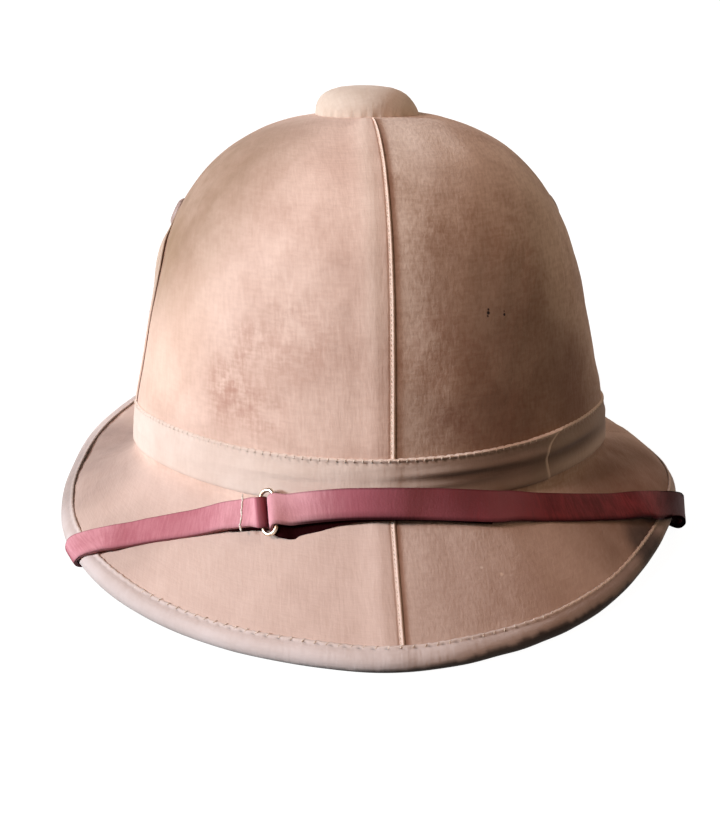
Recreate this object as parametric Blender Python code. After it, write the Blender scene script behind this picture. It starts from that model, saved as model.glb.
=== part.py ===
"""Cloth-covered pith sun helmet with a leather chin strap worn over the front brim."""
import math

import bmesh
import bpy
import numpy as np

# All lengths in millimetres, angles in degrees. The front of the helmet faces -Y and the
# surface it stands on is z = 0. "Left" and "right" are as seen from the front: left is -X.
MM = 0.001

# ---- driving dimensions -------------------------------------------------------------------
SHELL_WALL = 4.0          # pressed pith wall of crown and brim
CLOTH_WALL = 1.0          # turned cotton cover, also band and binding
LAYER_GAP = 0.4           # air between cover and pith
FIT_GAP = 0.35            # air between band or binding and what it lies on
CROWN_LEAN = 7.0          # the crown leans back over the flat brim edge
BAND_PLANE = 38.0         # height of the crown's own origin over the floor
CROWN_RATIO = 1.146       # crown length over crown width
BAND_WIDTH = 19.0
BINDING_FLAP = 4.6        # how far the edge binding reaches in past the round edge
EDGE_CENTRE = 4.0         # half thickness of the bound edge
FLOOR_SINK = 0.35         # how much of the round edge is worn flat on the floor side
EDGE_TURNS = (0.0, 50.0, 100.0, 128.0, 156.0, 180.0)   # corners of the round edge
UNDER_EASE = 0.25         # extra room under the brim inside the binding
SEAM_BUMP = (-5.8, -4.0, 2.8, 4.6)   # where a strip climbs and leaves a seam
CENTRE_X = -1.051        # moves the whole helmet over the origin
CENTRE_Y = 1.007
AZIMUTH_STEPS = 48
LAP_LIFT = 1.35           # seam: how far the upper cover climbs over the lower one
OVER_STRIP = (-5.0, -3.7, -2.9, 1.6)   # upper cover: start, foot and top of the climb, end
UNDER_STRIP = (-3.4, -1.6, 2.2)        # lower cover: start, middle, end under the upper one
LAP_CUT_RADIUS = 31.0     # nearer the crown's top the covers meet edge to edge
LAP_FLAT_RADIUS = 27.0    # and from here the upper one no longer climbs
LAP_FULL_RADIUS = 46.0    # the strips have their full width outside this radius
SEAM_CLEAR = 4.4          # azimuth kept clear of other columns beside a seam

# crown outline in the crown's own frame: height, half width
CROWN_ROWS = (
    (124.0, 0.0), (123.7, 14.0), (122.6, 25.0), (122.0, 29.0), (120.9, 34.0),
    (116.6, 46.0), (109.4, 58.8), (99.4, 69.6), (85.4, 79.5), (65.5, 87.6),
    (44.0, 92.9), (22.0, 97.1), (4.0, 100.6), (-10.0, 101.9), (-24.0, 102.9),
)
# the button's outline over the crown's top: radius, height
CROWN_TOP = 124.0
BUTTON_STEPS = 24
BUTTON_ROWS = (
    (0.0, 0.8), (13.0, 0.6), (20.6, 0.2), (21.4, 1.3), (21.2, 3.0), (19.9, 5.8),
    (17.2, 8.2), (12.8, 9.9), (7.0, 10.7), (0.0, 10.9),
)
# rows of the mesh: 0 top, 1 band's upper edge, 2 band's foot, 3 brim edge
STATIONS = (0.078, 0.14, 0.163, 0.195, 0.28, 0.37, 0.47, 0.61, 0.80,
            1.0, 2.0, 2.2, 2.45, 2.68, 2.84, 3.0)

# by azimuth from the front: reach of the edge centre left and right, rise of the edge,
# end slope of the brim left and right, band top height
RIM_ROWS = (
    # azimuth, left, right, rise_l, rise_r, slope_l, slope_r, band_top
    (0.0, 165.8, 165.8, 0.0, 0.0, 40.0, 40.0, 6.4),
    (15.0, 161.4, 159.6, 0.0, 0.0, 40.0, 42.0, 6.6),
    (30.0, 155.0, 149.8, 0.0, 0.0, 42.0, 46.0, 7.2),
    (45.0, 149.2, 140.4, 2.5, 2.5, 44.0, 55.0, 7.8),
    (60.0, 141.8, 134.6, 5.5, 6.0, 45.0, 66.0, 7.4),
    (75.0, 132.4, 129.8, 5.5, 6.0, 45.0, 76.0, 5.4),
    (90.0, 127.3, 122.0, 4.0, 4.5, 42.0, 78.0, 3.0),
    (105.0, 127.5, 118.6, 4.0, 3.0, 34.0, 72.0, 2.0),
    (120.0, 132.0, 122.5, 2.5, 1.0, 28.0, 58.0, 2.0),
    (135.0, 141.0, 132.0, 1.0, 0.0, 26.0, 44.0, 2.4),
    (150.0, 153.0, 148.0, 0.0, 0.0, 28.0, 34.0, 2.8),
    (165.0, 164.0, 164.0, 0.0, 0.0, 30.0, 31.0, 3.2),
    (180.0, 168.0, 168.0, 0.0, 0.0, 30.0, 30.0, 3.4),
)
SEAMS = (-0.4, 90.0, 180.0, -86.0)   # front, right, back, left
BAND_JOIN = 30.5          # azimuth at which the band's end laps over its start
BAND_OVERLAP = 8.0
VENT_AZIMUTH = 97.0       # side eyelets, a little behind the side seams
VENT_HEIGHT = 82.0
VENT_STEPS = 15
# eyelet section: radius, height over the cloth
VENT_ROWS = ((2.4, -0.2), (6.5, -0.2), (6.1, 0.5), (4.5, 1.7), (3.0, 1.6), (2.4, 0.9))
STRAP_WIDTH = 12.0
STRAP_WALL = 1.4
STRAP_GAP = 0.35
RING_BARS = 5.4           # distance between the two bars of the slide ring
RING_TALL = 17.0
RING_WIRE = 1.6
RING_EASE = 0.85          # lifts the ring's ends clear of the hollow of the brim
RING_AZIMUTH = -22.4
RING_CORNER = 2.4
RIVET_RADIUS = 4.5
RIVET_WALL = 1.2
RIVET_GAP = 0.6
RIVET_STEPS = 14

ROOT_PULL = 13.0          # how far the crown's line runs on into the brim
EDGE_PULL = (             # by azimuth: pull of the edge slope, left and right
    (0.0, 34.0, 34.0), (30.0, 34.0, 34.0), (60.0, 34.0, 42.0), (90.0, 30.0, 46.0),
    (120.0, 34.0, 34.0), (150.0, 40.0, 36.0), (180.0, 44.0, 44.0),
)
# the strap over the front: azimuth, way down from the foot of the band, standing off
STRAP_ROWS = (
    (-55.0, 47.8, 0.15), (-50.0, 37.2, 0.15), (-45.0, 27.6, 0.15), (-40.0, 20.7, 0.15),
    (-35.0, 14.9, 0.15), (-30.0, 10.3, 0.15), (-25.0, 7.0, 0.2), (-20.0, 3.8, 0.4),
    (-15.0, 0.2, 0.5), (-8.0, -2.6, 0.5), (2.0, -2.8, 0.6), (11.0, -0.5, 0.5),
    (18.0, 3.2, 0.4), (27.0, 7.5, 0.25), (36.0, 13.2, 0.3), (44.0, 19.6, 0.7),
    (53.0, 28.9, 1.8), (61.0, 38.5, 3.2),
)
# how each layer of the strap lies over the front: azimuth, layers beneath it, extra height
SHORT_REAR = ((-30.4, 0, 0.0), (-28.4, 0, 0.0), (-26.4, 0, 0.1))
SHORT_FRONT = (
    (-26.2, 1, 0.9), (-28.0, 1, 0.3), (-31.0, 1, 0.0), (-33.8, 0, 0.7), (-37.0, 0, 0.0),
    (-41.0, 0, 0.0), (-44.5, 0, 0.0), (-47.2, 0, 0.35), (-49.2, 0, 1.0),
)
LONG_REAR = tuple((a, 0, 0.0) for a in (18.5, 14.0, 10.0, 6.0, 2.0, -2.0, -6.0, -10.0,
                                        -14.0, -17.0)) + ((-19.2, 0, 0.1),)
LONG_FRONT = ((-18.7, 1, 0.9), (-17.0, 1, 0.3)) + tuple(
    (a, 1, 0.0) for a in (-14.0, -10.0, -6.0, -2.0, 2.0, 6.0, 10.0, 14.0, 19.0)) + (
    (23.5, 0, 1.0), (29.0, 0, 0.0), (35.0, 0, 0.0), (41.0, 0, 0.0), (47.0, 0, 0.2),
    (52.0, 0, 0.8),
)
# just inside the brim edge: azimuth, way in, height over the cloth, half spread in degrees
LEFT_LANDING = (-52.2, 6.0, 2.6, 3.2)
RIGHT_LANDING = (57.8, 5.0, 4.2, 4.9)
# the strap round the brim edge: turn from the top of the edge, azimuth, half spread along
# the edge, distance from the edge centre at its rear and at its front edge
LEFT_WRAP = (
    (8.0, -54.5, 2.9, 5.6, 5.6), (32.0, -54.8, 2.8, 5.8, 5.8), (55.0, -55.1, 2.7, 5.9, 5.9),
    (78.0, -55.4, 2.7, 5.8, 5.8), (101.0, -55.7, 2.6, 5.7, 5.7), (124.0, -56.0, 2.6, 5.6, 5.6),
    (148.0, -56.4, 2.5, 5.5, 5.5), (172.0, -56.8, 2.5, 5.5, 5.5),
)
RIGHT_WRAP = (
    (8.0, 63.5, 4.5, 6.8, 7.6), (30.0, 65.2, 4.4, 7.0, 9.0), (52.0, 66.6, 4.3, 7.2, 10.2),
    (76.0, 67.6, 4.2, 7.0, 10.5), (100.0, 68.2, 4.0, 6.6, 8.8), (124.0, 68.6, 3.7, 6.2, 7.2),
    (148.0, 68.9, 3.4, 6.0, 6.5), (172.0, 69.2, 3.2, 5.9, 6.0),
)
# the hidden stretch of each strap piece under the brim: azimuth, station
LEFT_UNDER = ((-58.0, 2.86), (-61.5, 2.6), (-67.0, 2.3), (-72.5, 2.08), (-76.5, 1.85),
              (-79.5, 1.55), (-81.0, 1.15), (-81.5, 0.97))
RIGHT_UNDER = ((70.0, 2.86), (71.8, 2.6), (74.2, 2.3), (77.0, 2.08), (79.0, 1.85),
               (81.0, 1.55), (82.0, 1.15), (82.5, 0.97))

# ---- the helmet's outer surface ------------------------------------------------------------


def spline(knots, values, x):
    """Cubic curve through the knots with averaged slopes, ends held."""
    knots = np.asarray(knots, float)
    values = np.asarray(values, float)
    x = np.clip(np.asarray(x, float), knots[0], knots[-1])
    secant = np.diff(values) / np.diff(knots)
    slope = np.concatenate([[secant[0]], (secant[:-1] + secant[1:]) / 2.0, [secant[-1]]])
    i = np.clip(np.searchsorted(knots, x, side="right") - 1, 0, len(knots) - 2)
    width = knots[i + 1] - knots[i]
    t = (x - knots[i]) / width
    return (
        (2 * t**3 - 3 * t**2 + 1) * values[i] + (t**3 - 2 * t**2 + t) * width * slope[i]
        + (3 * t**2 - 2 * t**3) * values[i + 1] + (t**3 - t**2) * width * slope[i + 1]
    )


def around(rows, left, right, azimuth):
    """A table column read round the whole rim, left column for -X and right for +X."""
    rows = np.asarray(rows, float)
    angles = np.concatenate([-rows[::-1, 0], rows[1:, 0]])
    values = np.concatenate([rows[::-1, left], rows[1:, right]])
    wrapped = (np.asarray(azimuth, float) + 180.0) % 360.0 - 180.0
    angles = np.concatenate([angles[-3:-1] - 360.0, angles, angles[1:3] + 360.0])
    values = np.concatenate([values[-3:-1], values, values[1:3]])
    return spline(angles, values, wrapped)


def crown_profile():
    """The crown's outline by distance from its top: distance, height, half width."""
    rows = np.asarray(CROWN_ROWS, float)
    step = np.hypot(np.diff(rows[:, 0]), np.diff(rows[:, 1]))
    run = np.concatenate([[0.0], np.cumsum(step)])
    fine = np.linspace(0.0, run[-1], 400)
    return fine, spline(run, rows[:, 0], fine), spline(run, rows[:, 1], fine)


PROFILE_RUN, PROFILE_HEIGHT, PROFILE_HALF = crown_profile()


def run_at_height(height):
    """Distance from the top at which the outline is down to a height."""
    return np.interp(height, PROFILE_HEIGHT[::-1], PROFILE_RUN[::-1])


def to_world(x, y, z):
    """From the crown's own frame to the frame of the floor."""
    lean = math.radians(CROWN_LEAN)
    return np.stack([
        x, y * math.cos(lean) + z * math.sin(lean),
        z * math.cos(lean) - y * math.sin(lean) + BAND_PLANE,
    ], axis=-1)


def band_top(azimuth):
    """Height of the band's upper edge in the crown's frame."""
    return around(RIM_ROWS, 7, 7, azimuth)


def crown_point(azimuth, run):
    """Point of the crown's outer cloth at an azimuth and a distance down its outline."""
    half = np.interp(run, PROFILE_RUN, PROFILE_HALF)
    height = np.interp(run, PROFILE_RUN, PROFILE_HEIGHT)
    a = np.radians(azimuth)
    radius = half / np.sqrt(np.sin(a) ** 2 + (np.cos(a) / CROWN_RATIO) ** 2)
    return to_world(radius * np.sin(a), -radius * np.cos(a), height)


def outward(azimuth):
    """Level unit vector pointing out at an azimuth."""
    a = np.radians(azimuth)
    return np.stack([np.sin(a), -np.cos(a), np.zeros_like(a)], axis=-1)


def edge_frame(azimuth):
    """Centre of the bound edge, direction off the brim and normal of the brim there."""
    azimuth = np.asarray(azimuth, float)
    reach = around(RIM_ROWS, 1, 2, azimuth)
    rise = around(RIM_ROWS, 3, 4, azimuth)
    slope = np.radians(around(RIM_ROWS, 5, 6, azimuth))[..., None]
    out = outward(azimuth)
    up = np.zeros_like(out)
    up[..., 2] = 1.0
    centre = out * reach[..., None]
    centre[..., 2] = EDGE_CENTRE - FLOOR_SINK + rise
    along = out * np.cos(slope) - up * np.sin(slope)
    normal = out * np.sin(slope) + up * np.cos(slope)
    return centre, along, normal


def brim_point(azimuth, t):
    """Point of the brim's upper cloth, t = 0 at the band and 1 at the edge."""
    azimuth, t = np.broadcast_arrays(np.asarray(azimuth, float), np.asarray(t, float))
    foot = run_at_height(band_top(azimuth) - BAND_WIDTH)
    root = crown_point(azimuth, foot)
    above = crown_point(azimuth, foot - 3.0)
    lead = root - above
    lead = lead / np.linalg.norm(lead, axis=-1, keepdims=True) * ROOT_PULL
    centre, along, normal = edge_frame(azimuth)
    half = (CLOTH_WALL + LAYER_GAP + SHELL_WALL) / 2.0
    end = centre + normal * half
    tail = along * around(EDGE_PULL, 1, 2, azimuth)[..., None]
    t = t[..., None]
    return (
        (2 * t**3 - 3 * t**2 + 1) * root + (t**3 - 2 * t**2 + t) * lead
        + (3 * t**2 - 2 * t**3) * end + (t**3 - t**2) * tail
    )


def cover_point(azimuth, station):
    """Outer cloth surface. Station 0-1 crown, 1-2 band zone, 2-3 brim."""
    azimuth, station = np.broadcast_arrays(
        np.asarray(azimuth, float), np.asarray(station, float))
    crown = crown_point(azimuth, crown_run(azimuth, np.clip(station, 0.0, 2.0)))
    brim = brim_point(azimuth, np.clip(station - 2.0, 0.0, 1.0))
    return np.where((station > 2.0)[..., None], brim, crown)


def crown_run(azimuth, station):
    """Distance down the outline of a station between 0 (top) and 2 (band's foot)."""
    top = run_at_height(band_top(azimuth))
    foot = run_at_height(band_top(azimuth) - BAND_WIDTH)
    return np.where(station > 1.0, top + (foot - top) * (station - 1.0), top * station)


def surface_normal(azimuth, station):
    """Outward unit normal of the cloth surface."""
    da = 0.4
    ds = 0.004
    low = np.clip(station - ds, 0.001, 3.0)
    high = np.clip(station + ds, 0.001, 3.0)
    across = cover_point(azimuth + da, station) - cover_point(azimuth - da, station)
    down = cover_point(azimuth, high) - cover_point(azimuth, low)
    normal = np.cross(down, across)
    return normal / np.linalg.norm(normal, axis=-1, keepdims=True)


def layer_point(azimuth, station, offset):
    """Cloth surface moved out by an offset."""
    azimuth, station = np.broadcast_arrays(
        np.asarray(azimuth, float), np.asarray(station, float))
    offset = np.asarray(offset, float)
    return cover_point(azimuth, station) + surface_normal(azimuth, station) * offset[..., None]


# ---- building solids -----------------------------------------------------------------------


def finish(name, label, points, faces, colour, rough, metal=0.0):
    """Make a named object with its own material from points in millimetres."""
    mesh = bpy.data.meshes.new(name)
    shift = np.array([CENTRE_X, CENTRE_Y, 0.0])
    placed = (np.asarray(points, float) - shift) * MM
    mesh.from_pydata(placed.tolist(), [], faces)
    bm = bmesh.new()
    bm.from_mesh(mesh)
    bmesh.ops.triangulate(bm, faces=bm.faces, quad_method="FIXED")
    bmesh.ops.recalc_face_normals(bm, faces=bm.faces)
    bm.to_mesh(mesh)
    bm.free()
    item = bpy.data.objects.new(name, mesh)
    bpy.context.collection.objects.link(item)
    material = bpy.data.materials.new(label)
    material.use_nodes = True
    shader = material.node_tree.nodes["Principled BSDF"]
    shader.inputs["Base Color"].default_value = (*colour, 1.0)
    shader.inputs["Roughness"].default_value = rough
    shader.inputs["Metallic"].default_value = metal
    mesh.materials.append(material)
    return item


def slab(outer, inner, wrap):
    """Closed solid between two grids of rows x columns; wrap joins the last column."""
    rows, cols = outer.shape[:2]
    points = np.concatenate([outer.reshape(-1, 3), inner.reshape(-1, 3)])
    base = rows * cols
    faces = []
    last = cols if wrap else cols - 1
    for r in range(rows - 1):
        for c in range(last):
            d = (c + 1) % cols
            a, b = r * cols + c, r * cols + d
            e, f = (r + 1) * cols + c, (r + 1) * cols + d
            faces.append((a, e, f, b))
            faces.append((base + a, base + b, base + f, base + e))
    for r, flip in ((0, False), (rows - 1, True)):
        for c in range(last):
            d = (c + 1) % cols
            a, b = r * cols + c, r * cols + d
            quad = (a, b, base + b, base + a)
            faces.append(quad[::-1] if flip else quad)
    if not wrap:
        for c, flip in ((0, True), (cols - 1, False)):
            for r in range(rows - 1):
                a, b = r * cols + c, (r + 1) * cols + c
                quad = (a, b, base + b, base + a)
                faces.append(quad[::-1] if flip else quad)
    return points, faces


def tube(sections, closed):
    """Closed solid through sections of equal length; closed joins last to first."""
    sections = np.asarray(sections, float)
    count, size = sections.shape[:2]
    points = sections.reshape(-1, 3)
    faces = []
    for i in range(count if closed else count - 1):
        j = (i + 1) % count
        for k in range(size):
            m = (k + 1) % size
            faces.append((i * size + k, i * size + m, j * size + m, j * size + k))
    if not closed:
        faces.append(tuple(range(size))[::-1])
        faces.append(tuple((count - 1) * size + k for k in range(size)))
    return points, faces


def level_radius(azimuth, station):
    """Distance of the cloth from the crown's axis, for turning lengths into angles."""
    point = cover_point(azimuth, station) - cover_point(azimuth, 0.001)
    return np.hypot(point[..., 0], point[..., 1])


# ---- pith shell ----------------------------------------------------------------------------


def build_shell():
    """One moulded wall: crown and brim."""
    azimuth = np.arange(AZIMUTH_STEPS) * 360.0 / AZIMUTH_STEPS
    station = np.asarray(STATIONS)[:, None]
    depth = -(CLOTH_WALL + LAYER_GAP)
    outer = layer_point(azimuth[None, :], station, np.full((1, 1), depth))
    inner = layer_point(azimuth[None, :], station, np.full((1, 1), depth - SHELL_WALL))
    lean = math.radians(CROWN_LEAN)
    axis = np.array([0.0, math.sin(lean), math.cos(lean)])
    apex = cover_point(0.0, 0.0)
    points, faces = slab(outer, inner, True)
    faces = faces[: 2 * (len(STATIONS) - 1) * AZIMUTH_STEPS] + faces[-AZIMUTH_STEPS:]
    tip = len(points)
    points = np.concatenate([points, [apex + axis * depth, apex + axis * (depth - SHELL_WALL)]])
    base = len(STATIONS) * AZIMUTH_STEPS
    for c in range(AZIMUTH_STEPS):
        d = (c + 1) % AZIMUTH_STEPS
        faces.append((tip, c, d))
        faces.append((tip + 1, base + d, base + c))
    return finish("pith_shell", "pressed_pith", points, faces, (0.62, 0.52, 0.38), 0.9)


# ---- cloth covers --------------------------------------------------------------------------


def lap_profile(role, radius):
    """Strip beside a seam as (distance past the seam, lift) pairs for one row.

    Close to the button the lap runs out, first in width and then in height.
    """
    lift = LAP_LIFT if radius >= LAP_FLAT_RADIUS else 0.0
    if role == "over":
        strip = list(zip(OVER_STRIP, (0.0, 0.0, lift, lift)))
    else:
        strip = [(d, 0.0) for d in UNDER_STRIP]
    if radius < LAP_CUT_RADIUS:
        strip[-1] = (-0.25, strip[-1][1])
    scale = min(1.0, radius / LAP_FULL_RADIUS)
    return [(d * scale, h) for d, h in strip]


def cover_columns(start, end, start_role, end_role):
    """Azimuths and lifts of a panel between two seams, one row per station."""
    step = 360.0 / AZIMUTH_STEPS
    grid = [k * step for k in range(-AZIMUTH_STEPS, 2 * AZIMUTH_STEPS)
            if start + SEAM_CLEAR < k * step < end - SEAM_CLEAR]
    azimuths, lifts = [], []
    for station in STATIONS:
        r0 = float(level_radius(start, station))
        r1 = float(level_radius(end, station))
        first = [(start - math.degrees(d / r0), h) for d, h in lap_profile(start_role, r0)]
        last = [(end + math.degrees(d / r1), h) for d, h in lap_profile(end_role, r1)]
        row = first[::-1] + [(a, 0.0) for a in grid] + last
        azimuths.append([a for a, h in row])
        lifts.append([h for a, h in row])
    return np.array(azimuths), np.array(lifts)


def build_cover(name, start, end, start_role, end_role):
    """One turned cloth panel from the button to the brim edge."""
    azimuth, lift = cover_columns(start, end, start_role, end_role)
    station = np.repeat(np.asarray(STATIONS)[:, None], azimuth.shape[1], axis=1)
    outer = layer_point(azimuth, station, lift)
    inner = layer_point(azimuth, station, lift - CLOTH_WALL)
    points, faces = slab(outer, inner, False)
    return finish(name, "cotton_cover", points, faces, (0.60, 0.45, 0.33), 0.95)


# ---- band and edge binding -----------------------------------------------------------------


def seam_lift(azimuth, station):
    """Lift that carries a strip over the seams, by distance from the nearest one."""
    radius = level_radius(azimuth, station)
    lift = np.zeros_like(radius)
    for k, seam in enumerate(SEAMS):
        away = np.radians((azimuth - seam + 180.0) % 360.0 - 180.0) * radius
        side = -away if k == 1 else away
        shape = np.interp(side, SEAM_BUMP, (0.0, LAP_LIFT, LAP_LIFT, 0.0))
        lift = np.maximum(lift, shape)
    return lift


def strip_azimuths(station, first, last):
    """Azimuths for a strip round the helmet with extra ones beside the seams."""
    step = 360.0 / AZIMUTH_STEPS
    extra = []
    for k, seam in enumerate(SEAMS):
        radius = float(level_radius(seam, station))
        sign = -1.0 if k == 1 else 1.0
        for turn in (-360.0, 0.0, 360.0):
            for d in SEAM_BUMP:
                a = seam + turn + sign * math.degrees(d / radius)
                if first < a < last:
                    extra.append(a)
    grid = [k * step for k in range(-AZIMUTH_STEPS, 2 * AZIMUTH_STEPS)]
    keep = [a for a in grid if first + 0.5 < a < last - 0.5
            and min(abs(a - e) for e in extra) > 1.0]
    return np.array(sorted(keep + extra + [first, last]))


def build_band():
    """Cloth strip round the foot of the crown, its end lapped over its start."""
    lap = math.degrees(BAND_OVERLAP / 108.0)
    first, last = BAND_JOIN, BAND_JOIN + 360.0 + lap
    azimuth = strip_azimuths(1.5, first, last)
    climb = (last - lap - 2.5, last - lap - 1.2)
    azimuth = np.array(sorted(list(azimuth) + list(climb)))
    rise = np.interp(azimuth, climb, (0.0, CLOTH_WALL + FIT_GAP))
    station = np.array((1.0, 1.45, 1.93))[:, None]
    grid = np.repeat(azimuth[None, :], 3, axis=0)
    lift = seam_lift(grid, np.broadcast_to(station, grid.shape)) + rise + FIT_GAP
    outer = layer_point(grid, station, lift + CLOTH_WALL)
    inner = layer_point(grid, station, lift)
    points, faces = slab(outer, inner, False)
    return finish("crown_band", "cotton_band", points, faces, (0.62, 0.48, 0.35), 0.95)


def edge_station(azimuth, back):
    """Station on the brim a given way in from the edge, measured over the cloth."""
    fine = np.linspace(2.0, 3.0, 61)
    result = []
    for a in np.atleast_1d(azimuth):
        line = cover_point(a, fine)
        run = np.concatenate([[0.0], np.cumsum(np.linalg.norm(np.diff(line, axis=0), axis=1))])
        result.append(np.interp(run[-1] - back, run, fine))
    return np.array(result)


def build_binding():
    """Cloth folded round the brim edge; it carries the helmet."""
    azimuth = strip_azimuths(2.9, 0.0, 360.0)[:-1]
    lift = seam_lift(azimuth, np.full_like(azimuth, 3.0))
    inset = edge_station(azimuth, BINDING_FLAP)
    half = (CLOTH_WALL + LAYER_GAP + SHELL_WALL) / 2.0
    centre, along, normal = edge_frame(azimuth)
    depth = CLOTH_WALL + LAYER_GAP + SHELL_WALL
    sections = []
    for wall, turns in ((FIT_GAP + CLOTH_WALL, EDGE_TURNS), (FIT_GAP, EDGE_TURNS[::2])):
        ring = [layer_point(azimuth, inset, lift + wall)]
        for turn in turns:
            t = math.radians(turn)
            reach = (half + wall) * math.sin(t)
            tall = (half + wall) * math.cos(t) + lift * max(math.cos(t), 0.0)
            tall = tall + UNDER_EASE * min(math.cos(t), 0.0)
            ring.append(centre + along * reach + normal * np.asarray(tall)[..., None])
        under = np.full_like(azimuth, -depth - wall - UNDER_EASE)
        ring.append(layer_point(azimuth, inset, under))
        sections.append(ring if wall > FIT_GAP else ring[::-1])
    loop = np.stack(sections[0] + sections[1], axis=1)
    loop[..., 2] = np.maximum(loop[..., 2], 0.0)
    points, faces = tube(loop, True)
    return finish("brim_binding", "cotton_binding", points, faces, (0.60, 0.46, 0.36), 0.95)


# ---- top button and side vents -------------------------------------------------------------


def crown_axis_point(radius, angle, height):
    """Point set about the crown's own upright axis."""
    a = np.radians(angle)
    return to_world(radius * np.sin(a), -radius * np.cos(a), np.full_like(a, height))


def build_button():
    """Cloth-covered round button over the meeting of the panels."""
    size = BUTTON_STEPS
    angle = np.arange(size) * 360.0 / size
    outline = BUTTON_ROWS[1:-1]
    rings = [crown_axis_point(r, angle, CROWN_TOP + z) for r, z in outline]
    faces = []
    for i in range(len(rings) - 1):
        for k in range(size):
            m = (k + 1) % size
            faces.append((i * size + k, i * size + m, (i + 1) * size + m, (i + 1) * size + k))
    low = len(rings) * size
    high = low + 1
    tips = [to_world(0.0, 0.0, CROWN_TOP + z) for r, z in (BUTTON_ROWS[0], BUTTON_ROWS[-1])]
    points = np.concatenate(rings + [tips])
    for k in range(size):
        m = (k + 1) % size
        faces.append((low, m, k))
        faces.append((high, low - size + k, low - size + m))
    return finish("top_button", "cotton_button", points, faces, (0.64, 0.50, 0.36), 0.95)


def build_vent(name, side):
    """Small raised eyelet ring on the side of the crown."""
    azimuth = side * VENT_AZIMUTH
    run = float(run_at_height(VENT_HEIGHT) / run_at_height(band_top(azimuth)))
    centre = cover_point(azimuth, run)
    normal = surface_normal(azimuth, run)
    across = np.cross([0.0, 0.0, 1.0], normal)
    across /= np.linalg.norm(across)
    up = np.cross(normal, across)
    sections = []
    for k in range(VENT_STEPS):
        t = 2.0 * math.pi * k / VENT_STEPS
        radial = across * math.cos(t) + up * math.sin(t)
        sections.append([centre + radial * r + normal * h for r, h in VENT_ROWS])
    points, faces = tube(sections, True)
    return finish(name, "painted_eyelet", points, faces, (0.42, 0.34, 0.33), 0.6, 0.6)


# ---- chin strap ----------------------------------------------------------------------------


def station_down(azimuth, down):
    """Station at a way down the cloth from the band's foot; up the band if negative."""
    fine = np.linspace(1.0, 3.0, 161)
    result = []
    for a, d in zip(np.atleast_1d(azimuth), np.atleast_1d(down)):
        line = cover_point(a, fine)
        run = np.concatenate([[0.0], np.cumsum(np.linalg.norm(np.diff(line, axis=0), axis=1))])
        result.append(np.interp(np.interp(2.0, fine, run) + d, run, fine))
    return np.array(result)


def strap_seat(azimuth):
    """Middle of the strap where it rests on cloth and band, and the way it faces there."""
    azimuth = np.atleast_1d(np.asarray(azimuth, float))
    rows = np.asarray(STRAP_ROWS)
    down = spline(rows[:, 0], rows[:, 1], azimuth)
    off = spline(rows[:, 0], rows[:, 2], azimuth)
    wall = CLOTH_WALL + FIT_GAP
    bump = np.interp(np.abs(azimuth + 0.9), (2.9, 7.5), (LAP_LIFT, 0.0))
    touch = []
    for part in (-1.0, -0.67, -0.33, 0.0, 0.33, 0.67, 1.0):
        way = down + part * STRAP_WIDTH / 2.0
        lift = np.interp(way, (-1.3, -0.6), (wall, 0.0)) + bump
        touch.append(layer_point(azimuth, station_down(azimuth, way), lift))
    touch = np.stack(touch)
    chord = touch[-1] - touch[0]
    chord /= np.linalg.norm(chord, axis=-1, keepdims=True)
    level = np.stack([np.cos(np.radians(azimuth)), np.sin(np.radians(azimuth)),
                      np.zeros_like(azimuth)], axis=-1)
    face = np.cross(chord, level)
    face /= np.linalg.norm(face, axis=-1, keepdims=True)
    middle = (touch[0] + touch[-1]) / 2.0
    proud = ((touch - middle) * face).sum(axis=-1).max(axis=0)
    return middle + face * (proud + off)[:, None], face


def strap_sections(plus, minus, plus_face, minus_face):
    """Four corners of the strap at every place from the middles of its two edges."""
    half = STRAP_WALL / 2.0
    return np.stack([
        plus + plus_face * half, minus + minus_face * half,
        minus - minus_face * half, plus - plus_face * half], axis=1)


def run_over_front(rows, heading, flip=1.0):
    """Strap sections lying square across its path over the front.

    rows: azimuth, layers beneath, extra height. heading is 1 for a strap that leads to
    the right edge and -1 for the left edge; flip is -1 for the layer turned back below.
    """
    azimuth, layer, extra = np.array(rows, float).T
    height = STRAP_GAP + STRAP_WALL / 2.0 + layer * (STRAP_WALL + STRAP_GAP) + extra
    seat, face = strap_seat(azimuth)
    path = strap_seat(azimuth + 0.6)[0] - strap_seat(azimuth - 0.6)[0]
    across = np.cross(face, path) * heading
    across /= np.linalg.norm(across, axis=1, keepdims=True)
    centre = seat + face * height[:, None]
    side = across * STRAP_WIDTH / 2.0
    return strap_sections(centre + side, centre - side, face * flip, face * flip)


def run_on_brim(landing):
    """One strap section that lies along the brim edge, a way in from it."""
    azimuth, inset, offset, spread = landing
    ends = []
    for sign in (1.0, -1.0):
        a = np.array([azimuth + sign * spread])
        station = edge_station(a, inset)
        ends.append((layer_point(a, station, np.array([offset])), surface_normal(a, station)))
    return strap_sections(ends[0][0], ends[1][0], ends[0][1], ends[1][1])


def wrap_edge(rows):
    """Sections of the strap going round the bound edge.

    rows: turn from the top, azimuth, half spread, distance at the rear and front edge.
    """
    turn, azimuth, spread, rear, front = np.array(rows).T
    ends = []
    for sign in (1.0, -1.0):
        radius = rear if sign * azimuth[0] > 0.0 else front
        centre, along, normal = edge_frame(azimuth + sign * spread)
        t = np.radians(turn)[:, None]
        facing = along * np.sin(t) + normal * np.cos(t)
        ends.append((centre + facing * radius[:, None], facing))
    return strap_sections(ends[0][0], ends[1][0], ends[0][1], ends[1][1])


def under_path(rows):
    """Azimuths and stations of the hidden stretch at close steps."""
    rows = np.array(rows)
    knots = np.arange(len(rows))
    fine = np.linspace(0.0, knots[-1], 2 * len(rows) - 1)
    return spline(knots, rows[:, 0], fine), spline(knots, rows[:, 1], fine)


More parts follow.
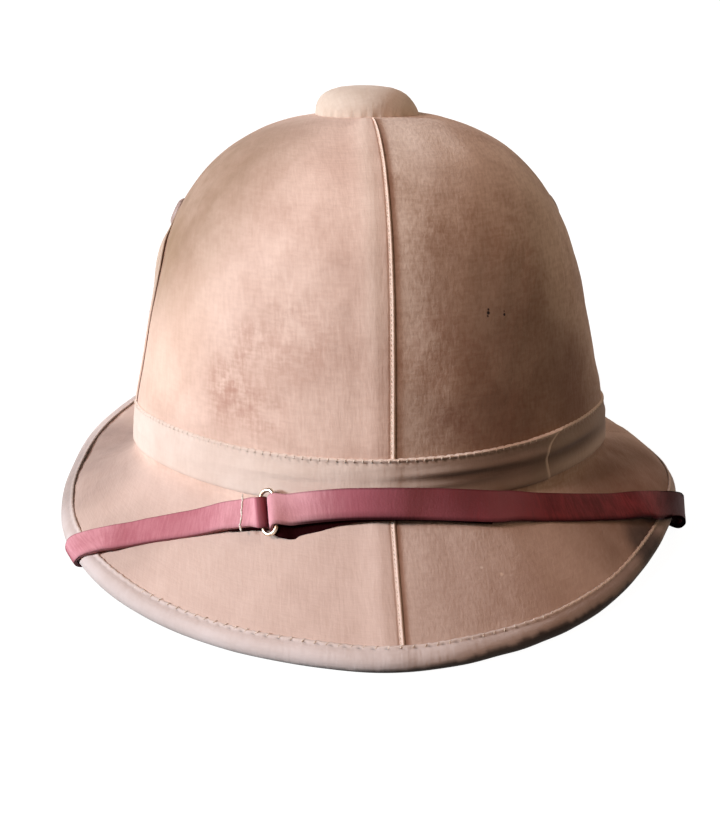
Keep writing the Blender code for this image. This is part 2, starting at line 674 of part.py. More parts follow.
def under_point(azimuth, station):
    """Middle of the hidden strap's wall at a place inside the brim or crown."""
    depth = CLOTH_WALL + LAYER_GAP + SHELL_WALL + STRAP_GAP + STRAP_WALL / 2.0
    binding = CLOTH_WALL + FIT_GAP + UNDER_EASE
    ease = np.interp(station, (2.0, 2.4, 2.55, 2.8), (0.45, 0.35, 0.3, binding + 0.2))
    return layer_point(azimuth, station, -(depth + ease))


def run_under(rows):
    """Strap sections of the hidden stretch inside the brim and crown."""
    azimuth, station = under_path(rows)
    spread = np.degrees(STRAP_WIDTH / 2.0 / level_radius(azimuth, station))
    ends = []
    for sign in (1.0, -1.0):
        a = azimuth + sign * spread
        ends.append((under_point(a, station), -surface_normal(a, station)))
    return strap_sections(ends[0][0], ends[1][0], ends[0][1], ends[1][1])


def ring_frame():
    """Middle of the slide ring with its along, across and outward directions."""
    seat, face = strap_seat(np.array([RING_AZIMUTH - 1.0, RING_AZIMUTH, RING_AZIMUTH + 1.0]))
    along = seat[2] - seat[0]
    along /= np.linalg.norm(along)
    face = face[1] - along * float(face[1] @ along)
    face /= np.linalg.norm(face)
    level = STRAP_GAP * 2.0 + STRAP_WALL + RING_WIRE / 2.0 + RING_EASE
    return seat[1] + face * level, along, np.cross(face, along), face


def loop_round_bar(side):
    """Strap sections round one ring bar, from behind it to in front of it."""
    middle, along, across, face = ring_frame()
    bar = middle + along * side * RING_BARS / 2.0
    radius = RING_WIRE / 2.0 + STRAP_GAP + STRAP_WALL / 2.0
    turn = np.radians(np.linspace(-90.0, 90.0, 7))[:, None]
    facing = face * np.sin(turn) - along * side * np.cos(turn)
    centre = bar + facing * radius
    half = across * side * STRAP_WIDTH / 2.0
    return strap_sections(centre + half, centre - half, facing, facing)


def build_strap(name, heading, rear, front, landing, wrap, under):
    """One strap piece: rear layer, round the ring bar, front layer, edge, hidden end."""
    points, faces = tube(np.concatenate((
        run_over_front(rear, heading, -1.0),
        loop_round_bar(heading),
        run_over_front(front, heading),
        run_on_brim(landing),
        wrap_edge(wrap),
        run_under(under),
    )), False)
    return finish(name, "strap_leather", points, faces, (0.42, 0.13, 0.15), 0.55)


def build_ring():
    """Wire ring that joins the two strap pieces."""
    middle, along, across, face = ring_frame()
    corner = RING_CORNER
    half_w, half_t = RING_BARS / 2.0, RING_TALL / 2.0
    spots = []
    for cx, cy, start in ((1, 1, 0.0), (-1, 1, 90.0), (-1, -1, 180.0), (1, -1, 270.0)):
        for turn in (0.0, 30.0, 60.0, 90.0):
            t = math.radians(start + turn)
            spots.append((cx * (half_w - corner) + corner * math.cos(t),
                          cy * (half_t - corner) + corner * math.sin(t), t))
    sections = []
    for x, y, t in spots:
        out = along * math.cos(t) + across * math.sin(t)
        centre = middle + along * x + across * y
        sections.append([
            centre + (out * math.cos(v) + face * math.sin(v)) * RING_WIRE / 2.0
            for v in np.radians(np.arange(8) * 45.0)])
    points, faces = tube(sections, True)
    return finish("strap_ring", "ring_brass", points, faces, (0.76, 0.62, 0.40), 0.35, 1.0)


def build_rivet(name, rows):
    """Plain flat rivet head through the hidden end of a strap piece."""
    azimuth, station = under_path(rows)
    middle = under_point(azimuth[-3:-2], station[-3:-2])[0]
    face = -surface_normal(azimuth[-3:-2], station[-3:-2])[0]
    across = np.cross([0.0, 0.0, 1.0], face)
    across /= np.linalg.norm(across)
    up = np.cross(face, across)
    low = STRAP_WALL / 2.0 + RIVET_GAP
    sections = []
    for height in (low, low + RIVET_WALL):
        sections.append([
            middle + face * height
            + (across * math.cos(v) + up * math.sin(v)) * RIVET_RADIUS
            for v in np.radians(np.arange(RIVET_STEPS) * 360.0 / RIVET_STEPS)])
    points, faces = tube(sections, False)
    return finish(name, "rivet_brass", points, faces, (0.62, 0.50, 0.32), 0.4, 1.0)


def main():
    """Build every piece of the helmet."""
    for item in list(bpy.data.objects):
        bpy.data.objects.remove(item, do_unlink=True)
    front, right, back, left = SEAMS
    build_shell()
    build_cover("cover_front_left", left, front, "under", "over")
    build_cover("cover_front_right", front, right, "under", "under")
    build_cover("cover_rear_right", right, back, "over", "under")
    build_cover("cover_rear_left", back - 360.0, left, "over", "over")
    build_band()
    build_binding()
    build_button()
    build_vent("vent_left", -1.0)
    build_vent("vent_right", 1.0)
    build_strap("chin_strap_short", -1.0, SHORT_REAR, SHORT_FRONT, LEFT_LANDING, LEFT_WRAP,
                LEFT_UNDER)
    build_strap("chin_strap_long", 1.0, LONG_REAR, LONG_FRONT, RIGHT_LANDING, RIGHT_WRAP,
                RIGHT_UNDER)
    build_ring()
    build_rivet("strap_rivet_left", LEFT_UNDER)
    build_rivet("strap_rivet_right", RIGHT_UNDER)


main()
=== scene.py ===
"""Looks of a cloth-covered pith sun helmet with a leather chin strap over the front brim.

Lengths are in millimetres and angles in degrees; placed() turns points to metres. The front
of the helmet faces -Y, and "left" and "right" are as seen from the front: left is -X.
"""
import logging
import math
from collections.abc import Callable, Sequence
from dataclasses import dataclass, field
from enum import Enum
from functools import cache, partial

import bpy
import numpy as np
from mathutils import Matrix


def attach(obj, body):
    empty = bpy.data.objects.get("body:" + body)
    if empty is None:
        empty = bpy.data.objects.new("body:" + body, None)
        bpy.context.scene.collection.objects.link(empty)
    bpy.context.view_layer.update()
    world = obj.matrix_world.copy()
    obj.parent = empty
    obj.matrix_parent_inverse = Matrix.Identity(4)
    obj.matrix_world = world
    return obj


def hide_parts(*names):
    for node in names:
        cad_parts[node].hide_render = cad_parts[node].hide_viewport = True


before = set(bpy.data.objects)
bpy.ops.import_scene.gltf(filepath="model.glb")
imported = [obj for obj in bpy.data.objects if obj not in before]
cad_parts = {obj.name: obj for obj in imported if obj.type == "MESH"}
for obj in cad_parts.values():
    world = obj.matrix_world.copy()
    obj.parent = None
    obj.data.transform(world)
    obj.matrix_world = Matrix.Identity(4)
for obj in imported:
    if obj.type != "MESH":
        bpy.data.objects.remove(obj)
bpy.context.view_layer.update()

LOG = logging.getLogger("helmet")
MM = 0.001
BODY = "root"
CLOTH_MAP = "cloth"       # name of the UV map that holds places on the flat cloth, in mm
COLOURS = {"data_type": "RGBA"}                      # what a Mix node works on
SMOOTH = {"interpolation_type": "SMOOTHSTEP"}        # how a Map Range node eases
WAVES = 9                 # waves that add up to a random swell
RIM_ANGLE = 50.0          # sharper edges than this are rounded

Array = np.ndarray
Rows = tuple[tuple[float, ...], ...]     # a table of numbers
Piece = bpy.types.Object
Socket = bpy.types.NodeSocket
NodeMaker = Callable[..., Socket]        # add_node for one material


# ---- the form that every piece lies on ----


def smooth_curve(knots: Sequence[float], values: Sequence[float], x: Array) -> Array:
    """Read a cubic curve with averaged slopes through the knots, its ends held.

    Args:
        knots: rising places of the known values.
        values: the known values.
        x: places at which the curve is read.

    Returns:
        The curve's values, shaped as x.
    """
    knots = np.asarray(knots, float)
    values = np.asarray(values, float)
    x = np.clip(np.asarray(x, float), knots[0], knots[-1])
    secant = np.diff(values) / np.diff(knots)
    slope = np.concatenate([[secant[0]], (secant[:-1] + secant[1:]) / 2, [secant[-1]]])
    i = np.clip(np.searchsorted(knots, x, side="right") - 1, 0, len(knots) - 2)
    width = knots[i + 1] - knots[i]
    t = (x - knots[i]) / width
    return (
        (2 * t**3 - 3 * t**2 + 1) * values[i] + (t**3 - 2 * t**2 + t) * width * slope[i]
        + (3 * t**2 - 2 * t**3) * values[i + 1] + (t**3 - t**2) * width * slope[i + 1]
    )


def read_rows(rows: Sequence[Sequence[float]], x: Array, column: int = 1) -> Array:
    """Read a column of a table as a smooth curve over its first column."""
    table = np.array(rows)
    return smooth_curve(table[:, 0], table[:, column], x)


def wrapped(azimuth: Array) -> Array:
    """Bring angles to between -180 and 180."""
    return (np.asarray(azimuth, float) + 180) % 360 - 180


def ease(low: float, high: float, x: Array) -> Array:
    """Rise smoothly from 0 at low to 1 at high."""
    t = np.clip((np.asarray(x, float) - low) / (high - low), 0, 1)
    return t * t * (3 - 2 * t)


def hump(x: Array, middle: float, width: float) -> Array:
    """Bell of height 1 about a middle."""
    return np.exp(-(((np.asarray(x, float) - middle) / width) ** 2))


def unit(vectors: Array) -> Array:
    """Scale vectors to length 1."""
    return vectors / np.linalg.norm(vectors, axis=-1, keepdims=True)


def ripple(places: Array, size: float, seed: int) -> Array:
    """Make a smooth random swell that is the same for the same seed.

    Args:
        places: points in millimetres, the last axis their coordinates.
        size: usual distance between two crests in millimetres.
        seed: picks the pattern.

    Returns:
        Heights of about -1 to 1, one for each point.
    """
    source = np.random.default_rng(seed)
    waves = source.normal(size=(WAVES, places.shape[-1]))
    waves = unit(waves) * source.uniform(0.6, 1.5, size=(WAVES, 1)) * 2 * math.pi / size
    start = source.uniform(0, 2 * math.pi, size=WAVES)
    return np.sin(places @ waves.T + start).sum(axis=-1) / (1.4 * math.sqrt(WAVES))


@dataclass
class HelmetForm:
    """Outer cloth surface of crown and brim.

    An azimuth runs round the helmet from the front (0) over the right side (90). A station
    runs down it: 0 is the top, 1 the band's upper edge, 2 the band's foot, 3 the brim edge.
    """

    crown_lean: float = 7.0
    band_plane: float = 38.0
    crown_ratio: float = 1.146
    crown_top: float = 124.0
    band_width: float = 19.0
    edge_height: float = 3.65
    pack_depth: float = 5.4
    root_pull: float = 13.0
    centre: tuple[float, float] = (-1.051, 1.007)
    seams: tuple[float, ...] = (-0.4, 90, 180, -86)
    crown_rows: Rows = (    # height, half width
        (124, 0), (123.7, 14), (122.6, 25), (122, 29), (120.9, 34),
        (116.6, 46), (109.4, 58.8), (99.4, 69.6), (85.4, 79.5), (65.5, 87.6),
        (44, 92.9), (22, 97.1), (4, 100.6), (-10, 101.9), (-24, 102.9),
    )
    # azimuth, reach left and right, rise left and right, slope left and right, band top
    rim_rows: Rows = (
        (0, 165.8, 165.8, 0, 0, 40, 40, 6.4),
        (15, 161.4, 159.6, 0, 0, 40, 42, 6.6),
        (30, 155, 149.8, 0, 0, 42, 46, 7.2),
        (45, 149.2, 140.4, 2.5, 2.5, 44, 55, 7.8),
        (60, 141.8, 134.6, 5.5, 6, 45, 66, 7.4),
        (75, 132.4, 129.8, 5.5, 6, 45, 76, 5.4),
        (90, 127.3, 122, 4, 4.5, 42, 78, 3),
        (105, 127.5, 118.6, 4, 3, 34, 72, 2),
        (120, 132, 122.5, 2.5, 1, 28, 58, 2),
        (135, 141, 132, 1, 0, 26, 44, 2.4),
        (150, 153, 148, 0, 0, 28, 34, 2.8),
        (165, 164, 164, 0, 0, 30, 31, 3.2),
        (180, 168, 168, 0, 0, 30, 30, 3.4),
    )
    # azimuth, pull of the edge's slope left and right
    edge_pull: Rows = (
        (0, 34, 34), (30, 34, 34), (60, 34, 42), (90, 30, 46),
        (120, 34, 34), (150, 40, 36), (180, 44, 44),
    )

    def __post_init__(self) -> None:
        """Work out the crown's outline by distance from its top."""
        rows = np.asarray(self.crown_rows)
        run = np.concatenate([[0], np.cumsum(np.hypot(*np.diff(rows, axis=0).T))])
        self.run = np.linspace(0, run[-1], 400)
        self.height = smooth_curve(run, rows[:, 0], self.run)
        self.half = smooth_curve(run, rows[:, 1], self.run)

    def placed(self, points: Array) -> Array:
        """Turn millimetres of the form to metres of the frame."""
        return (np.asarray(points, float) - np.array([*self.centre, 0])) * MM

    def around(self, rows: tuple, left: int, right: int, azimuth: Array) -> Array:
        """Read a table round the whole rim.

        Args:
            rows: the table, from front to back.
            left: its column for the side of -X.
            right: its column for the side of +X.
            azimuth: where it is read.

        Returns:
            The values, shaped as azimuth.
        """
        table = np.asarray(rows, float)
        angles = np.concatenate([-table[::-1, 0], table[1:, 0]])
        values = np.concatenate([table[::-1, left], table[1:, right]])
        angles = np.concatenate([angles[-3:-1] - 360, angles, angles[1:3] + 360])
        values = np.concatenate([values[-3:-1], values, values[1:3]])
        return smooth_curve(angles, values, wrapped(azimuth))

    def run_at_height(self, height: Array) -> Array:
        """Distance from the top at which the outline is down to a height."""
        return np.interp(height, self.height[::-1], self.run[::-1])

    def leaned(self, x: Array, y: Array, z: Array) -> Array:
        """Take points from the crown's own frame to the floor's.

        Args:
            x: how far across.
            y: how far back.
            z: how far up the crown's axis.

        Returns:
            The points.
        """
        lean = math.radians(self.crown_lean)
        return np.stack([
            x, y * math.cos(lean) + z * math.sin(lean),
            z * math.cos(lean) - y * math.sin(lean) + self.band_plane,
        ], axis=-1)

    def band_top(self, azimuth: Array) -> Array:
        """Height of the band's upper edge in the crown's frame."""
        return self.around(self.rim_rows, 7, 7, azimuth)

    def crown_point(self, azimuth: Array, run: Array) -> Array:
        """Find points of the crown.

        Args:
            azimuth: angles round the helmet.
            run: distances from the top, down the outline.

        Returns:
            The points.
        """
        half = np.interp(run, self.run, self.half)
        height = np.interp(run, self.run, self.height)
        a = np.radians(azimuth)
        radius = half / np.sqrt(np.sin(a) ** 2 + (np.cos(a) / self.crown_ratio) ** 2)
        return self.leaned(radius * np.sin(a), -radius * np.cos(a), height)

    def edge_frame(self, azimuth: Array) -> tuple[Array, Array, Array]:
        """Find the bound edge.

        Args:
            azimuth: angles round the helmet.

        Returns:
            Its centre, the way off the brim and the brim's normal there.
        """
        azimuth = np.asarray(azimuth, float)
        a = np.radians(azimuth)
        slope = np.radians(self.around(self.rim_rows, 5, 6, azimuth))[..., None]
        out = np.stack([np.sin(a), -np.cos(a), np.zeros_like(a)], axis=-1)
        up = np.zeros_like(out)
        up[..., 2] = 1
        centre = out * self.around(self.rim_rows, 1, 2, azimuth)[..., None]
        centre[..., 2] = self.edge_height + self.around(self.rim_rows, 3, 4, azimuth)
        along = out * np.cos(slope) - up * np.sin(slope)
        return centre, along, out * np.sin(slope) + up * np.cos(slope)

    def brim_point(self, azimuth: Array, t: Array) -> Array:
        """Find points of the brim.

        Args:
            azimuth: angles round the helmet.
            t: 0 at the band's foot, 1 at the edge.

        Returns:
            The points.
        """
        foot = self.run_at_height(self.band_top(azimuth) - self.band_width)
        root = self.crown_point(azimuth, foot)
        lead = unit(root - self.crown_point(azimuth, foot - 3)) * self.root_pull
        centre, along, normal = self.edge_frame(azimuth)
        end = centre + normal * (self.pack_depth / 2)
        tail = along * self.around(self.edge_pull, 1, 2, azimuth)[..., None]
        t = t[..., None]
        return (
            (2 * t**3 - 3 * t**2 + 1) * root + (t**3 - 2 * t**2 + t) * lead
            + (3 * t**2 - 2 * t**3) * end + (t**3 - t**2) * tail
        )

    def crown_run(self, azimuth: Array, station: Array) -> Array:
        """Distance from the top, down the outline.

        Args:
            azimuth: angles round the helmet.
            station: stations between 0 and 2.

        Returns:
            The distances.
        """
        top = self.run_at_height(self.band_top(azimuth))
        foot = self.run_at_height(self.band_top(azimuth) - self.band_width)
        return np.where(station > 1, top + (foot - top) * (station - 1), top * station)

    def point(self, azimuth: Array, station: Array) -> Array:
        """Find points of the outer cloth.

        Args:
            azimuth: angles round the helmet.
            station: stations down it.

        Returns:
            The points.
        """
        azimuth, station = np.broadcast_arrays(
            np.asarray(azimuth, float), np.asarray(station, float))
        crown = self.crown_point(azimuth, self.crown_run(azimuth, np.clip(station, 0, 2)))
        brim = self.brim_point(azimuth, np.clip(station - 2, 0, 1))
        return np.where((station > 2)[..., None], brim, crown)

    def normal(self, azimuth: Array, station: Array) -> Array:
        """Find the way out of the cloth.

        Args:
            azimuth: angles round the helmet.
            station: stations down it.

        Returns:
            Unit normals.
        """
        low = np.clip(station - 0.004, 0.001, 3)
        high = np.clip(station + 0.004, 0.001, 3)
        across = self.point(azimuth + 0.4, station) - self.point(azimuth - 0.4, station)
        down = self.point(azimuth, high) - self.point(azimuth, low)
        return unit(np.cross(down, across))

    def lifted(self, azimuth: Array, station: Array, offset: Array) -> Array:
        """Find points over the cloth, or under it.

        Args:
            azimuth: angles round the helmet.
            station: stations down it.
            offset: how far out of the cloth.

        Returns:
            The points.
        """
        azimuth, station = np.broadcast_arrays(
            np.asarray(azimuth, float), np.asarray(station, float))
        move = self.normal(azimuth, station) * np.asarray(offset, float)[..., None]
        return self.point(azimuth, station) + move

    def level_radius(self, azimuth: Array, station: Array) -> Array:
        """Distance from the crown's axis, for turning lengths into angles."""
        arm = self.point(azimuth, station) - self.point(azimuth, 0.001)
        return np.hypot(arm[..., 0], arm[..., 1])

    def station_along(self, azimuth: Array, way: Array, start: float) -> Array:
        """Walk down the cloth from a station, or up it.

        Args:
            azimuth: angles round the helmet.
            way: distance down at each angle, negative for up.
            start: the station to start from.

        Returns:
            The stations reached.
        """
        fine = np.linspace(1, 3, 161)
        line = self.point(np.asarray(azimuth, float)[:, None], fine[None, :])
        step = np.linalg.norm(np.diff(line, axis=1), axis=-1)
        run = np.concatenate([np.zeros((len(line), 1)), np.cumsum(step, axis=1)], axis=1)
        begin = [np.interp(start, fine, r) for r in run]
        return np.array([np.interp(b + w, r, fine) for b, w, r in zip(begin, way, run)])


FORM = HelmetForm()


# ---- blender helpers ----


def primitive(name: str, add: Callable, **settings: object) -> Piece:
    """Add one primitive with nothing else selected.

    Args:
        name: name of the new object.
        add: the operator that adds it.
        settings: its sizes.

    Returns:
        The new object.
    """
    bpy.ops.object.select_all(action="DESELECT")
    add(**settings)
    piece = bpy.context.object
    piece.name = piece.data.name = name
    return piece


def laid_sheet(name: str, places: Array, facing: Array,
               flat: Array) -> Piece:
    """Add a grid primitive and lay it onto a surface, row by row.

    Args:
        name: name of the new object.
        places: points in millimetres of the form, rows x columns x 3.
        facing: the way that the outer side faces at each point.
        flat: places on the flat cloth in millimetres, rows x columns x 2.

    Returns:
        The new object, at the origin.
    """
    rows, columns = places.shape[:2]
    sheet = primitive(name, bpy.ops.mesh.primitive_grid_add, x_subdivisions=columns - 1,
                      y_subdivisions=rows - 1, size=1)
    mesh = sheet.data
    mesh.vertices.foreach_set("co", FORM.placed(places).ravel())
    mapped(sheet, flat.reshape(-1, 2))
    mesh.update()
    normals = np.empty(len(mesh.vertices) * 3)
    mesh.vertices.foreach_get("normal", normals)
    if (normals.reshape(-1, 3) * facing.reshape(-1, 3)).sum() < 0:
        in_edit_mode(sheet, bpy.ops.mesh.flip_normals)
    return sheet


def mapped(piece: Piece, flat: Array) -> None:
    """Keep the flat cloth's places as the piece's UV map.

    Args:
        piece: a piece with a UV map of its primitive.
        flat: place of each vertex on the flat cloth in millimetres.
    """
    mesh = piece.data
    corners = np.empty(len(mesh.loops), dtype=np.int32)
    mesh.loops.foreach_get("vertex_index", corners)
    layer = mesh.uv_layers.active
    layer.name = CLOTH_MAP
    layer.data.foreach_set("uv", flat[corners].ravel())


def in_edit_mode(piece: Piece, operator: Callable, **settings: object) -> None:
    """Run one mesh operator on everything in a piece.

    Args:
        piece: the piece.
        operator: the operator.
        settings: what it is given.
    """
    only(piece)
    bpy.ops.object.mode_set(mode="EDIT")
    bpy.ops.mesh.select_all(action="SELECT")
    operator(**settings)
    bpy.ops.object.mode_set(mode="OBJECT")


def only(piece: Piece) -> None:
    """Select and activate one object and nothing else.

    Args:
        piece: the object.
    """
    bpy.ops.object.select_all(action="DESELECT")
    piece.select_set(True)
    bpy.context.view_layer.objects.active = piece


def finished_with(piece: Piece, kind: str, **settings: object) -> None:
    """Add one modifier to a piece and apply it.

    Args:
        piece: the piece.
        kind: Blender's name of the modifier.
        settings: its settings.
    """
    only(piece)
    modifier = piece.modifiers.new(kind.title(), kind)
    for key, value in settings.items():
        setattr(modifier, key, value)
    bpy.ops.object.modifier_apply(modifier=modifier.name)


def walled(piece: Piece, wall: float, rounding: float, segments: int = 2) -> None:
    """Give a sheet its thickness inwards and round its rims.

    Args:
        piece: a sheet whose outer side is in place.
        wall: thickness in millimetres.
        rounding: radius of the rims' corners in millimetres.
        segments: steps of that rounding.
    """
    finished_with(piece, "SOLIDIFY", thickness=wall * MM, offset=-1)
    finished_with(piece, "BEVEL", width=rounding * MM, segments=segments,
                  limit_method="ANGLE", angle_limit=math.radians(RIM_ANGLE))
    bpy.ops.object.shade_smooth()


def marked(piece: Piece, name: str, values: Array) -> None:
    """Store a number for each vertex, which a material reads by its name."""
    layer = piece.data.attributes.new(name, "FLOAT", "POINT")
    layer.data.foreach_set("value", np.asarray(values, np.float32).ravel())


def turned(name: str, outline: Sequence[tuple[float, float]],
           steps: int) -> Piece:
    """Turn an outline about the upright axis, as on a lathe, ring after ring.

    Args:
        name: name of the new object.
        outline: (radius, height) pairs in millimetres, from the foot up; both ends close.
        steps: corners of each ring.

    Returns:
        The new object about the origin, upright.
    """
    radius, height = outline[0]
    piece = primitive(name, bpy.ops.mesh.primitive_circle_add, vertices=steps,
                      radius=radius * MM, location=(0, 0, height * MM), fill_type="NGON")
    bpy.ops.object.transform_apply()
    bpy.ops.object.mode_set(mode="EDIT")
    bpy.ops.mesh.select_all(action="SELECT")
    for (last, low), (radius, high) in zip(outline, outline[1:]):
        bpy.ops.mesh.extrude_region_move(
            TRANSFORM_OT_translate={"value": (0, 0, (high - low) * MM)})
        grow = radius / last
        bpy.ops.transform.resize(value=(grow, grow, 1), center_override=(0, 0, high * MM))
    bpy.ops.mesh.select_all(action="SELECT")
    bpy.ops.mesh.normals_make_consistent(inside=False)
    bpy.ops.object.mode_set(mode="OBJECT")
    bpy.ops.object.shade_smooth()
    return piece


def drawn_torus(name: str, places: Array) -> Piece:
    """Add a torus and draw its sections out to their places.

    Args:
        name: name of the new object.
        places: points in metres, sections x points of each section x 3.

    Returns:
        The new object, its faces pointing out.
    """
    ring = primitive(name, bpy.ops.mesh.primitive_torus_add, major_segments=places.shape[0],
                     minor_segments=places.shape[1], major_radius=8 * MM,
                     minor_radius=0.8 * MM)
    ring.data.vertices.foreach_set("co", places.ravel())
    in_edit_mode(ring, bpy.ops.mesh.normals_make_consistent, inside=False)
    return ring


def seated(piece: Piece, origin: Array, level: Array,
           facing: Array) -> None:
    """Place a piece made about the origin, and put its place in its mesh.

    Args:
        piece: the piece, its own upright axis the one that will face out.
        origin: where its origin goes, in millimetres of the form.
        level: unit vector for its own X axis.
        facing: unit vector for its own Z axis.
    """
    matrix = np.eye(4)
    matrix[:3, 0], matrix[:3, 1], matrix[:3, 2] = level, np.cross(facing, level), facing
    matrix[:3, 3] = FORM.placed(origin)
    piece.matrix_world = Matrix(matrix.tolist())
    only(piece)
    bpy.ops.object.transform_apply(location=True, rotation=True, scale=True)


def run_along(places: Array) -> Array:
    """Distance of each point of a line from its first."""
    gaps = np.linalg.norm(np.diff(places, axis=0), axis=1)
    return np.concatenate([[0], np.cumsum(gaps)])


def along_line(places: Array, step: float) -> tuple[Array, Array]:
    """Distances and even places along a line of points.

    Args:
        places: points of the line in millimetres.
        step: wanted distance between places.

    Returns:
        The distance of each given point, and the even distances.
    """
    run = run_along(places)
    return run, np.linspace(0, run[-1], max(2, round(run[-1] / step) + 1))


# ---- finishes ----


def linear(colour: str) -> tuple[float, float, float, float]:
    """Turn an sRGB hex colour such as 'c8a080' to linear numbers."""
    parts = [int(colour[i:i + 2], 16) / 255 for i in (0, 2, 4)]
    return (*[p / 12.92 if p <= 0.04045 else ((p + 0.055) / 1.055) ** 2.4 for p in parts], 1)


def add_node(tree: bpy.types.NodeTree, kind: str, inputs: dict | Sequence = (),
             out: int | str = 0, **settings: object) -> Socket:
    """Add a node with its settings and links.

    Args:
        tree: the node tree.
        kind: Blender's name of the node type, without its "ShaderNode".
        inputs: a socket to link or a value to set for each input, in order or by name.
        out: number or name of the output that is wanted.
        settings: properties of the node.

    Returns:
        That output.
    """
    node = tree.nodes.new("ShaderNode" + kind)
    for key, value in settings.items():
        setattr(node, key, value)
    feed(node, inputs if isinstance(inputs, dict) else dict(enumerate(inputs)))
    return node.outputs[out]


def feed(node: bpy.types.Node, inputs: dict) -> None:
    """Fill inputs of a node.

    Args:
        node: the node.
        inputs: a socket to link or a value to set for each input.
    """
    for key, value in inputs.items():
        if isinstance(value, Socket):
            node.id_data.links.new(value, node.inputs[key])
        else:
            node.inputs[key].default_value = value


@dataclass(frozen=True)
class Finish:
    """What a surface is made of; specular is the shader's level for its bare gloss."""

    name: str
    specular: float = field(default=0.5, kw_only=True)

    @cache
    def material(self) -> bpy.types.Material:
        """Build the material, once for all the pieces that share it.

        Returns:
            The material.
        """
        material = bpy.data.materials.new(self.name)
        material.use_nodes = True
        shader = material.node_tree.nodes["Principled BSDF"]
        shader.inputs["Specular IOR Level"].default_value = self.specular
        feed(shader, self.surface(partial(add_node, material.node_tree)))
        return material

    def surface(self, node: NodeMaker) -> dict[str, object]:
        """What feeds the shader; each finish has its own."""
        raise NotImplementedError(self.name)


@dataclass(frozen=True)
class Mark:
    """A mark on the cloth, in millimetres of the form, each a stained patch, painted shade or a
    painted highlight; patchy ones follow the threads.
    """

    place: tuple[float, float, float]
    radius: float
    strength: float
    colour: str = "8a5f4c"
    patchy: bool = False
    core: float = 0.3


